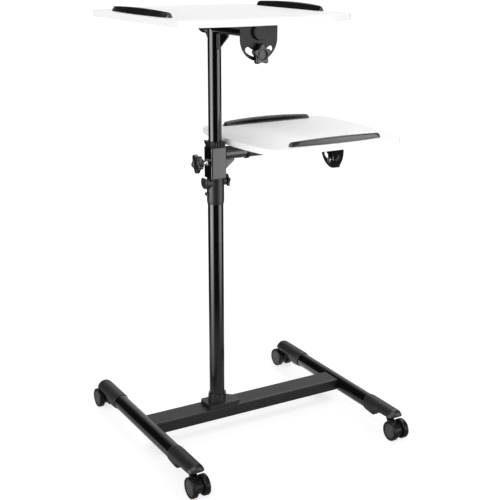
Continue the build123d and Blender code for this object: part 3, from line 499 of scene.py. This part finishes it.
def buildKnob(node, look):
    radius, thick, hub = look["radius"], look["thick"], look["hub"]
    edge = min(knobLook["edge"], thick * knobLook["edgeShare"])
    face, root = hub + thick, radius - look["hubRadius"]
    # share of the lobes' depth, inset from the rim and height, from the hub's end outward
    levels = [(0.0, root, 0.0), (0.0, root, hub * 0.7), (0.25, root - 1.2, hub * 0.94),
              (0.8, 2.4, hub + 0.25), (1.0, 0.6, hub + 0.9), (1.0, 0.0, hub + edge * 0.6)]
    for turn in range(knobLook["edgeSteps"] + 1):
        angle = math.pi / 2 * turn / knobLook["edgeSteps"]
        levels.append((1.0, edge * (1 - math.cos(angle)), face - edge + edge * math.sin(angle)))
    levels += [(0.9, edge + 0.5, face), (0.35, radius * 0.42, face - 0.2),
               (0.0, radius * 0.5, face - 0.35), (0.0, radius * 0.53, face - 1.1),
               (0.0, radius * 0.8, face - 1.0), (0.0, radius * 0.97, face - 0.95)]
    rings = []
    for share, inset, height in levels:
        ring = []
        for step in range(knobLook["steps"]):
            angle = 2 * math.pi * step / knobLook["steps"]
            wave = 0.5 - 0.5 * math.cos(knobLook["lobes"] * (angle - math.radians(look["phase"])))
            dip = (1 - wave ** knobLook["lobePower"]) * knobLook["lobeDepth"] * radius * share
            if inset >= radius * knobLook["innerFrom"]:
                dip *= knobLook["innerDip"]
            reach = max(0.3, radius - inset - dip)
            ring.append(Vector((reach * mm * math.cos(angle), reach * mm * math.sin(angle),
                                height * mm)))
        rings.append(ring)
    return skinRings(node + "_star", rings, angle=50)


for node in ("sleeve_knob", "top_knob", "lower_knob", "collar_knob"):
    look = knobLook[node]
    mesh = buildKnob(node, look)
    spot = place(*look["place"]) @ look["turn"]
    if node == "top_knob":
        spot = swivel @ spot
    moved(mesh, spot)
    if node == "collar_knob":
        stub = turnedRings([(0.5, 16.4), (3.4, 16.4), (4.0, 17.0), (4.0, 27.4)], 32)
        stub = moved(skinRings("stub", stub), place(0, 0, 651.0) @ towardsRight)
        mesh = joined("collar_knob_star", [mesh, stub])
    addPiece(node + "_star", mesh, bodyOf(node), slotOfNode[node], (node,))
print("knobs ready")

# Leg caps: round sleeves with a belly below, then a half-round nose over the caster

capLook = {
    "axisHeight": 55.0, "radius": 21.5, "mouthRadius": 20.7, "boreRadius": 19.1, "mouth": 158.0,
    "boreEnd": 188.4, "bevelEnd": 166.0, "tip": 277.5, "endRound": 14.0, "bellyHeight": 30.0,
    "bellyRound": 8.0, "bellyEnd": 192.5, "stepEnd": 215.0, "noseHeight": 57.5, "tipRise": 2.0,
    "boss": 9.0, "bossBottom": 53.5, "stem": 249.0, "steps": 72, "smoothAngle": 45,
}


# Half width, depth below the axis and the underside's height of a cap's section at y
def capSection(y):
    look = capLook
    bevel = min(1.0, (y - look["mouth"]) / (look["bevelEnd"] - look["mouth"]))
    radius = look["mouthRadius"] + (look["radius"] - look["mouthRadius"]) * bevel
    intoEnd = max(0.0, y - look["tip"] + look["endRound"])
    radius -= look["endRound"] - math.sqrt(max(0.0, look["endRound"] ** 2 - intoEnd ** 2))
    share = min(1.0, (y - look["mouth"]) / (look["bellyEnd"] - look["mouth"]))
    belly = look["axisHeight"] - look["bellyHeight"]
    depth = look["mouthRadius"] + (belly - look["mouthRadius"]) * math.sin(math.pi / 2 * share)
    cornerStart = look["bellyEnd"] - look["bellyRound"]
    floor = look["axisHeight"] - depth
    if y > look["bellyEnd"]:
        along = min(1.0, (y - look["bellyEnd"]) / (look["stepEnd"] - look["bellyEnd"]))
        corner = look["bellyHeight"] + look["bellyRound"]
        floor = corner + (look["noseHeight"] - corner) * math.sqrt(1 - (1 - along) ** 2)
        floor += look["tipRise"] * max(0.0, y - look["stepEnd"]) / (look["tip"] - look["stepEnd"])
    elif y > cornerStart:
        rounding = look["bellyRound"] ** 2 - (y - cornerStart) ** 2
        floor = max(floor, look["bellyHeight"] + look["bellyRound"] - math.sqrt(rounding))
    return radius, depth, floor


def capRing(x, side, y, radius, depth, floor):
    ring = []
    for step in range(capLook["steps"]):
        angle = 2 * math.pi * step / capLook["steps"]
        reach = radius if math.cos(angle) > 0 else max(depth, radius)
        height = max(floor, capLook["axisHeight"] + reach * math.cos(angle))
        ring.append(Vector(((x + radius * math.sin(angle)) * mm, side * y * mm, height * mm)))
    return ring


def buildCap(corner):
    x, side = corners[corner]
    look = capLook
    bore = look["boreRadius"]
    rings = [capRing(x, side, y, bore, bore, 0.0) for y in (look["boreEnd"], look["mouth"] + 0.3)]
    rings.append(capRing(x, side, look["mouth"], bore + 0.3, bore + 0.3, 0.0))
    rings.append(capRing(x, side, look["mouth"], look["mouthRadius"] - 0.5,
                         look["mouthRadius"] - 0.5, 0.0))
    stations = [look["mouth"] + 0.5 + 1.5 * step for step in range(5)]
    stations += [look["bevelEnd"] + 2.0 + 2.0 * step for step in range(8)]
    stations += [look["bellyEnd"] - look["bellyRound"] * math.cos(math.pi / 2 * turn / 6)
                 for turn in range(7)]
    steep = look["stepEnd"] - look["bellyEnd"]
    stations += [look["bellyEnd"] + steep * (1 - math.cos(math.pi / 2 * turn / 9))
                 for turn in range(1, 10)]
    stations += [look["stepEnd"] + 6.0 * step for step in range(1, 9)]
    stations += [look["tip"] - look["endRound"] * (1 - math.sin(math.pi / 2 * turn / 8))
                 for turn in range(9)]
    rings += [capRing(x, side, y, *capSection(y)) for y in sorted(stations)]
    body = skinRings("capBody", rings)
    radius, bottom = look["boss"], look["bossBottom"]
    profile = [(0.5, bottom), (radius - 0.5, bottom), (radius, bottom + 0.5),
               (radius, look["noseHeight"] + 4.0), (0.5, look["noseHeight"] + 4.0)]
    boss = skinRings("capBoss", turnedRings(profile, 40))
    boss.transform(place(x, side * look["stem"], 0))
    name = "cap_" + corner
    mesh = joined(name + "_moulded", [body, boss], look["smoothAngle"])
    faceOutward(mesh)
    smoothMesh(mesh, look["smoothAngle"])
    addPiece(mesh.name, moved(mesh, Matrix()), bodyOf(name), slotOfNode[name], (name,))


for corner in corners:
    buildCap(corner)
print("leg caps ready")

# Caster wheels, with a hub disc outside and ribs inside

wheelLook = {
    "radius": 25.0, "width": 14.0, "gap": 17.0, "trail": 274.0, "tread": 2.6, "treadSteps": 6,
    "bore": 7.0, "boreDepth": 5.0, "webRadius": 19.6, "webDepth": 5.2, "seamDepth": 0.25,
    "discRadius": 18.6, "discDrop": 0.9, "seatDepth": 2.0,
    "ribs": 8, "ribWidth": 1.6, "ribReach": (6.6, 19.9), "ribDepth": (1.4, 5.6), "steps": 72,
}


def buildWheel(corner, hand):
    x, side = corners[corner]
    radius, width, tread = wheelLook["radius"], wheelLook["width"], wheelLook["tread"]
    bore, web, steps = wheelLook["bore"], wheelLook["webRadius"], wheelLook["treadSteps"]
    disc, face = wheelLook["discRadius"], width - wheelLook["discDrop"]
    seam, seat = radius - wheelLook["seamDepth"], width - wheelLook["seatDepth"]
    profile = [(bore, 0.0), (bore, wheelLook["boreDepth"]), (web, wheelLook["webDepth"]),
               (web + 0.8, 4.4), (web + 1.0, 0.4), (web + 1.4, 0.0), (radius - tread, 0.0)]
    for turn in range(1, steps + 1):
        angle = math.pi / 2 * turn / steps
        profile.append((radius - tread + tread * math.sin(angle), tread * (1 - math.cos(angle))))
    profile += [(radius, width * 0.45), (seam, width * 0.47), (seam, width * 0.53),
                (radius, width * 0.55)]
    for turn in range(steps + 1):
        angle = math.pi / 2 * turn / steps
        profile.append((radius - tread + tread * math.cos(angle),
                        width - tread + tread * math.sin(angle)))
    profile += [(disc + 1.6, width), (disc + 1.1, width - 0.3), (disc + 0.9, seat), (0.2, seat)]
    cover = [(disc + 0.2, seat - 0.2), (disc + 0.2, face - 0.3), (disc - 0.4, face + 0.2),
             (disc * 0.6, face + 0.45), (disc * 0.27, face + 0.5), (disc * 0.24, face + 0.2),
             (disc * 0.1, face + 0.15), (0.2, face + 0.15)]
    parts = [skinRings("tyre", turnedRings(profile, wheelLook["steps"]))]
    half = wheelLook["ribWidth"] / 2
    low, high = wheelLook["ribDepth"]
    for rib in range(wheelLook["ribs"]):
        angle = 2 * math.pi * rib / wheelLook["ribs"]
        rings = []
        for reach in wheelLook["ribReach"]:
            rings.append([Vector((reach * mm, y * mm, z * mm)) for y, z in
                          ((-half, low), (half, low), (half, high), (-half, high))])
        blade = skinRings("blade", rings)
        blade.transform(Matrix.Rotation(angle, 4, "Z"))
        parts.append(blade)
    name = "wheel_" + hand + "_" + corner
    mesh = joined(name + "_moulded", parts, 35)
    reach = wheelLook["gap"] / 2
    if hand == "right":
        spot = place(x + reach, side * wheelLook["trail"], radius) @ towardsRight
    else:
        spot = place(x - reach, side * wheelLook["trail"], radius) @ towardsLeft
    moved(mesh, spot)
    addPiece(mesh.name, mesh, name, "wheel_plastic", (name,))
    disc = moved(skinRings(name + "_disc", turnedRings(cover, wheelLook["steps"])), spot)
    addPiece(disc.name, disc, name, "wheel_plastic")
    disc.materials[0] = hubDisc


for corner in corners:
    for hand in ("left", "right"):
        buildWheel(corner, hand)
print("wheels ready")

# Edge stops: bars bowed outward, with a groove along the top, a sloped inner side and round ends

stopLook = {
    "length": 257.0, "width": 22.0, "endWidth": 13.0, "height": 14.5, "endHeight": 10.5,
    "steps": 84, "inset": 9.0, "endRound": 10.0, "noseShape": 2.4, "edge": 2.6, "edgeSteps": 6,
    "wallDraft": 1.2, "innerSlope": 6.5, "grooveWidth": 1.4, "grooveDepth": 0.7,
    "smoothAngle": 38,
}


def buildStop(node, spot):
    half = stopLook["length"] / 2
    edge, draft = stopLook["edge"], stopLook["wallDraft"]
    rings = []
    for step in range(stopLook["steps"] + 1):
        share = -math.cos(math.pi * step / stopLook["steps"])   # finer towards both ends
        y = share * half
        bow = 1 - share * share
        intoEnd = max(0.0, abs(y) - half + stopLook["endRound"]) / stopLook["endRound"]
        nose = max(0.06, math.sqrt(max(0.0, 1 - intoEnd ** stopLook["noseShape"])))
        left = -(stopLook["width"] - stopLook["endWidth"]) * bow
        right = stopLook["endWidth"]
        middle = (left + right) / 2
        wide = (right - left) / 2 * (0.35 + 0.65 * nose)
        top = stopLook["endHeight"] + (stopLook["height"] - stopLook["endHeight"]) * bow
        high = top * (0.12 + 0.88 * nose)
        flat = max(0.4, wide - draft - edge - 3.2 * (1 - min(1.0, 3 * bow)))
        inner = max(0.2, flat - stopLook["innerSlope"] * min(1.0, 2 * bow))
        edgeHere = min(edge, high * 0.3)
        wall = high - edgeHere
        groove = min(stopLook["grooveWidth"], flat * 0.3)
        depth = stopLook["grooveDepth"] * min(1.0, 4 * bow) * nose
        outline = [(-wide, 0.0), (-wide + 0.2, wall * 0.5), (-flat - edgeHere, wall)]
        for turn in range(1, stopLook["edgeSteps"]):
            angle = math.pi / 2 * turn / stopLook["edgeSteps"]
            outline.append((-flat - edgeHere * math.cos(angle), wall + edgeHere * math.sin(angle)))
        outline += [(-flat, high), (-flat + groove * 0.3, high - depth),
                    (-flat + groove, high - depth), (-flat + groove * 1.3, high - 0.1 * depth),
                    (-flat + groove * 1.6, high - 0.5 * depth), (inner, high - 0.5 * depth)]
        for turn in range(1, stopLook["edgeSteps"]):
            angle = math.pi / 2 * turn / stopLook["edgeSteps"]
            outline.append((inner + edgeHere * math.sin(angle),
                            wall + edgeHere * math.cos(angle) - 0.5 * depth * math.cos(angle)))
        foot = wide - 0.25 * edgeHere
        outline += [(inner + edgeHere, wall), ((inner + edgeHere + foot) / 2, wall * 0.5),
                    (foot, 0.6), (foot, 0.0)]
        rings.append([Vector(((middle + px) * mm, y * mm, pz * mm)) for px, pz in outline])
    mesh = skinRings(node + "_crowned", rings, angle=stopLook["smoothAngle"])
    faceOutward(mesh)
    moved(mesh, spot)
    addPiece(mesh.name, mesh, bodyOf(node), "stop_plastic", (node,))


boardLook = {
    "topHalfWidth": 444.5 / 2, "topFace": 1050.0, "stopsY": -18.0,
    "lowerFace": 752.0, "stopsX": 233.45, "lowerFront": -185.0, "lowerBack": 176.0,
}
topStopX = boardLook["topHalfWidth"] - stopLook["inset"] - stopLook["width"] + stopLook["endWidth"]
fromEdge = stopLook["inset"] + stopLook["width"] - stopLook["endWidth"]
topY, topFace = boardLook["stopsY"], boardLook["topFace"]
lowerX, lowerFace = boardLook["stopsX"], boardLook["lowerFace"]
frontY, backY = boardLook["lowerFront"] + fromEdge, boardLook["lowerBack"] - fromEdge
halfTurn = Matrix.Rotation(math.pi, 4, "Z")
quarterTurn = Matrix.Rotation(math.pi / 2, 4, "Z")
buildStop("top_stop_left", swivel @ place(-topStopX, topY, topFace))
buildStop("top_stop_right", swivel @ place(topStopX, topY, topFace) @ halfTurn)
buildStop("lower_stop_front", place(lowerX, frontY, lowerFace) @ quarterTurn)
buildStop("lower_stop_back", place(lowerX, backY, lowerFace) @ quarterTurn.inverted())
print("stops ready")

# Screw heads with a cross recess, under both boards

screwLook = {
    "radius": 4.0, "dome": 0.9, "crossLength": 2.1, "crossWidth": 0.55, "crossDepth": 0.8,
    "steps": 48,
    "top_screws": [(x, y, z) for x, places, z in
                   ((204.25, (-100.0, 64.0), 1032.6), (39.0, (-158.0,), 1030.1),
                    (17.0, (59.5,), 1030.1)) for y in places],
    "lower_screws": [(151.4, -167.0, 734.6), (151.4, 158.0, 734.6), (315.4, -167.0, 734.6),
                     (315.4, 158.0, 734.6), (315.5, -37.0, 732.1), (315.5, 37.0, 732.1),
                     (104.0, -17.0, 732.1), (104.0, 17.0, 732.1)],
}


def crossReach(angle):
    folded = abs((angle + math.pi / 4) % (math.pi / 2) - math.pi / 4)
    length, half = screwLook["crossLength"], screwLook["crossWidth"]
    if math.tan(folded) < half / length:
        return length / math.cos(folded)
    return half / math.sin(folded)


def buildScrewHead(x, y, z):
    radius, dome = screwLook["radius"], screwLook["dome"]
    levels = [(radius - 0.1, 0.3), (radius, 0.0), (radius - 0.3, -dome * 0.45),
              (radius * 0.8, -dome * 0.8), ("cross", -dome), ("cross", -dome + screwLook["crossDepth"]),
              (0.1, -dome + screwLook["crossDepth"])]
    rings = []
    for reach, height in levels:
        ring = []
        for step in range(screwLook["steps"]):
            angle = -2 * math.pi * step / screwLook["steps"]
            r = crossReach(angle) if reach == "cross" else reach
            ring.append(Vector(((x + r * math.cos(angle)) * mm, (y + r * math.sin(angle)) * mm,
                                (z + height) * mm)))
        rings.append(ring)
    return skinRings("screwHead", rings, angle=30)


topPlaces = [(side * x, y, z) for x, y, z in screwLook["top_screws"] for side in (-1, 1)]
for node, places, turn in (("top_screws", topPlaces, swivel),
                           ("lower_screws", screwLook["lower_screws"], Matrix())):
    mesh = joined(node + "_heads", [buildScrewHead(*spot) for spot in places], 30)
    addPiece(mesh.name, moved(mesh, turn), bodyOf(node), "screw_steel")
print("screw heads ready")

# Weld beads where tubes, plates and gussets meet

weldLook = {
    "bead": 1.5, "wobble": 0.22, "pitch": 2.1, "sides": 8, "tubeSeam": 16.3, "gussetSeam": 2.3,
    "lowerAxis": 718.0, "topAxis": 1016.0,
    # each gusset seam as its ends' place along the arm and height
    "lowerSeams": [((22.0, 677.5), (22.0, 700.5)), ((23.0, 702.2), (49.5, 702.2))],
    "topSeams": [((-16.8, 966.0), (-16.8, 998.5)), ((-58.0, 1000.3), (-18.0, 1000.3)),
                 ((16.8, 977.5), (16.8, 998.5))],
}


# Lays one bead through points; each has its place, the way across the seam and the way up
def beadAlong(name, points, loop):
    count = len(points)
    rings = []
    for index, (spot, across, up) in enumerate(points):
        swell = 1 + weldLook["wobble"] * math.sin(index * 1.9) * math.cos(index * 0.7)
        ring = []
        for step in range(weldLook["sides"]):
            angle = 2 * math.pi * step / weldLook["sides"]
            reach = weldLook["bead"] * swell * mm
            ring.append(spot + across * reach * math.cos(angle) + up * reach * math.sin(angle))
        rings.append(ring)
    if loop:
        rings.append(rings[0])
    mesh = skinRings(name, rings, closeEnds=not loop, angle=60)
    faceOutward(mesh, weld=1e-6)
    return mesh


def ringBead(name, radius):
    steps = int(2 * math.pi * radius / weldLook["pitch"])
    points = []
    for step in range(steps):
        angle = 2 * math.pi * step / steps
        out = Vector((math.cos(angle), math.sin(angle), 0))
        points.append((out * radius * mm, out, Vector((0, 0, 1))))
    return beadAlong(name, points, True)


def lineBead(name, start, end):
    start, end = Vector(start) * mm, Vector(end) * mm
    way = (end - start).normalized()
    across = way.orthogonal().normalized()
    steps = max(2, int((end - start).length / (weldLook["pitch"] * mm)))
    points = [(start.lerp(end, step / steps), across, way.cross(across)) for step in range(steps + 1)]
    return beadAlong(name, points, False)


seam, tubeSeam = weldLook["gussetSeam"], weldLook["tubeSeam"]
lowerBeads = [moved(ringBead("bead", tubeSeam), place(x, 0, weldLook["lowerAxis"]) @ towardsRight)
              for x in (21.0, 329.9)]
for (x, low), (farX, high) in weldLook["lowerSeams"]:
    for side in (-1, 1):
        bead = lineBead("bead", (x, side * seam, low), (farX, side * seam, high))
        lowerBeads.append(moved(bead, Matrix()))
lowerWelds = joined("lowerArmWelds", lowerBeads, 60)
addPiece(lowerWelds.name, lowerWelds, bodyOf("lower_arm"), "frame_paint")
topEnd = swivel @ place(0, -172.4, weldLook["topAxis"]) @ towardsFront
topBeads = [moved(ringBead("bead", tubeSeam), topEnd)]
for (y, low), (farY, high) in weldLook["topSeams"]:
    for side in (-1, 1):
        bead = lineBead("bead", (side * seam, y, low), (side * seam, farY, high))
        topBeads.append(moved(bead, swivel))
topWelds = joined("topArmWelds", topBeads, 60)
addPiece(topWelds.name, topWelds, bodyOf("top_arm"), "frame_paint")
print("weld beads ready")

# Plug in the top arm's open back end

plugLook = [(13.4, -7.0), (13.6, -6.4), (13.6, 0.2), (15.6, 0.2), (15.9, 0.6), (15.9, 1.4),
            (15.2, 2.1), (11.0, 2.6), (5.0, 2.85), (0.3, 2.9)]
plug = skinRings("topArmPlug", turnedRings(plugLook, 56))
moved(plug, swivel @ place(0, 45.0, weldLook["topAxis"]) @ towardsBack)
addPiece(plug.name, plug, bodyOf("top_arm"), "black_plastic")
print("plug ready")

# Floor, light and camera
stageLook = {
    "floorSize": 160.0, "floorTone": (0.32, 0.32, 0.32, 1), "floorGlow": 0.76,
    "seenSky": (0.98, 0.98, 0.98, 1), "dimSide": 0.015, "lookDown": 0.956,
    "nearGleam": 0.38, "nearInner": 0.6, "nearOuter": 0.95,
    # pale walls round the table: heading from the front, half width in degrees, the light they
    # give, the light seen in gloss, and where on the floor that gloss starts and is full
    "walls": [
        {"heading": -90.0, "half": 25.0, "light": 2.6, "shine": 8.6, "near": 0.3, "far": 1.83},
        {"heading": 42.0, "half": 24.0, "light": 2.2, "shine": 5.0, "near": 0.6, "far": 1.83},
        {"heading": 150.0, "half": 40.0, "light": 0.5, "shine": 0.56, "near": 0.0, "far": 0.3},
    ],
    "wallFade": 0.09,
}


def wallShare(tree, where, wall):
    turn = math.radians(wall["heading"])
    along = tree.nodes.new("ShaderNodeVectorMath")
    along.operation = "DOT_PRODUCT"
    tree.links.new(where, along.inputs[0])
    along.inputs[1].default_value = (math.sin(turn), -math.cos(turn), 0)
    edge, fade = math.cos(math.radians(wall["half"])), stageLook["wallFade"]
    return spread(tree, along.outputs["Value"], edge - fade, edge + fade, 0.0, 1.0)


def buildSky():
    sky = bpy.data.worlds.new("paleStudio")
    sky.use_nodes = True
    tree = sky.node_tree
    back = tree.nodes["Background"]
    where = tree.nodes.new("ShaderNodeTexCoord").outputs["Generated"]
    given = gloss = stageLook["dimSide"]
    for wall in stageLook["walls"]:
        share = wallShare(tree, where, wall)
        given = mathNode(tree, "ADD", mathNode(tree, "MULTIPLY", share, wall["light"]), given)
        gloss = mathNode(tree, "ADD", mathNode(tree, "MULTIPLY", share, wall["shine"]), gloss)
    ray = tree.nodes.new("ShaderNodeLightPath")
    more = mathNode(tree, "SUBTRACT", gloss, given)
    glow = mathNode(tree, "ADD", given,
                    mathNode(tree, "MULTIPLY", more, ray.outputs["Is Glossy Ray"]))
    rest = mathNode(tree, "SUBTRACT", 1.0, glow)
    bright = mathNode(tree, "ADD", glow,
                      mathNode(tree, "MULTIPLY", rest, ray.outputs["Is Camera Ray"]))
    back.inputs["Color"].default_value = stageLook["seenSky"]
    tree.links.new(bright, back.inputs["Strength"])
    bpy.context.scene.world = sky


def floorPlane(name, height):
    mesh = bpy.data.meshes.new(name)
    half = stageLook["floorSize"] / 2
    mesh.from_pydata([(-half, -half, 0), (half, -half, 0), (half, half, 0), (-half, half, 0)],
                     [], [(0, 1, 2, 3)])
    floor = bpy.data.objects.new(name, mesh)
    floor.location = (mastX, 0, height)
    bpy.context.scene.collection.objects.link(floor)
    return floor


# What glossy paint sees of the floor: the walls' gleam, fading towards the table
def buildGleam():
    floor = floorPlane("floorGleam", -0.001)
    gleam = bpy.data.materials.new("floorGleam")
    gleam.use_nodes = True
    tree = gleam.node_tree
    tree.nodes.remove(tree.nodes["Principled BSDF"])
    where = tree.nodes.new("ShaderNodeTexCoord").outputs["Object"]
    length = tree.nodes.new("ShaderNodeVectorMath")
    length.operation = "LENGTH"
    tree.links.new(where, length.inputs[0])
    way = tree.nodes.new("ShaderNodeVectorMath")
    way.operation = "NORMALIZE"
    tree.links.new(where, way.inputs[0])
    down = tree.nodes.new("ShaderNodeVectorMath")
    down.operation = "SCALE"
    tree.links.new(way.outputs["Vector"], down.inputs[0])
    down.inputs["Scale"].default_value = stageLook["lookDown"]
    glow = stageLook["dimSide"]
    for wall in stageLook["walls"]:
        share = wallShare(tree, down.outputs["Vector"], wall)
        fade = spread(tree, length.outputs["Value"], wall["near"], wall["far"], 0.0, wall["shine"])
        glow = mathNode(tree, "ADD", mathNode(tree, "MULTIPLY", share, fade), glow)
    patch = spread(tree, length.outputs["Value"], stageLook["nearInner"], stageLook["nearOuter"],
                   stageLook["nearGleam"], 0.0)
    glow = mathNode(tree, "ADD", patch, glow)
    emit = tree.nodes.new("ShaderNodeEmission")
    emit.inputs["Color"].default_value = stageLook["seenSky"]
    tree.links.new(glow, emit.inputs["Strength"])
    tree.links.new(emit.outputs[0], tree.nodes["Material Output"].inputs["Surface"])
    floor.data.materials.append(gleam)
    floor.visible_camera = False
    floor.visible_diffuse = False
    floor.visible_shadow = False
    floor.visible_transmission = False


def buildStage():
    floor = floorPlane("studioFloor", 0)
    paper = bpy.data.materials.new("palePaper")
    paper.use_nodes = True
    tree = paper.node_tree
    shader = tree.nodes["Principled BSDF"]
    shader.inputs["Roughness"].default_value = 0.9
    shader.inputs["Specular IOR Level"].default_value = 0.1
    shader.inputs["Emission Color"].default_value = stageLook["seenSky"]
    shader.inputs["Emission Strength"].default_value = stageLook["floorGlow"]
    where = tree.nodes.new("ShaderNodeTexCoord").outputs["Object"]
    cloud = noiseNode(tree, where, 1.2, 4.0)
    tone = stageLook["floorTone"]
    tree.links.new(mixColour(tree, cloud, tone, tuple(0.985 * part for part in tone[:3]) + (1,)),
                   shader.inputs["Base Color"])
    floor.data.materials.append(paper)
    floor.visible_glossy = False   # glossy paint sees the gleam below instead


lampLooks = {
    "mainLight": {"from": (-0.62, -1.0, 1.35), "power": 2.5, "spread": 50},
    "topLight": {"from": (0.5, 0.45, 1.0), "power": 1.6, "spread": 30},
}


def buildLamps():
    for name, look in lampLooks.items():
        lamp = bpy.data.lights.new(name, "SUN")
        lamp.energy = look["power"]
        lamp.angle = math.radians(look["spread"])
        holder = bpy.data.objects.new(name, lamp)
        bpy.context.scene.collection.objects.link(holder)
        holder.location = look["from"]
        holder.rotation_mode = "QUATERNION"
        holder.rotation_quaternion = (-Vector(look["from"])).to_track_quat("-Z", "Y")


cameraLook = {
    "place": (-1125.4, -2117.0, 1208.7), "azimuth": 30.392, "drop": 16.922, "roll": 0.238,
    "lens": 73.873, "shiftX": -0.01413,
}


def buildCamera():
    data = bpy.data.cameras.new("photoCamera")
    data.lens = cameraLook["lens"]
    data.shift_x = cameraLook["shiftX"]
    data.clip_end = 60
    camera = bpy.data.objects.new("photoCamera", data)
    bpy.context.scene.collection.objects.link(camera)
    turn = Matrix.Rotation(-math.radians(cameraLook["azimuth"]), 4, "Z")
    tilt = Matrix.Rotation(math.radians(90 - cameraLook["drop"]), 4, "X")
    roll = Matrix.Rotation(math.radians(cameraLook["roll"]), 4, "Z")
    camera.matrix_world = onMast(place(*cameraLook["place"])) @ turn @ tilt @ roll
    bpy.context.scene.camera = camera


buildSky()
buildStage()
buildGleam()
buildLamps()
buildCamera()
bpy.context.scene.view_settings.view_transform = "Standard"
print("stage, lamps and camera ready")
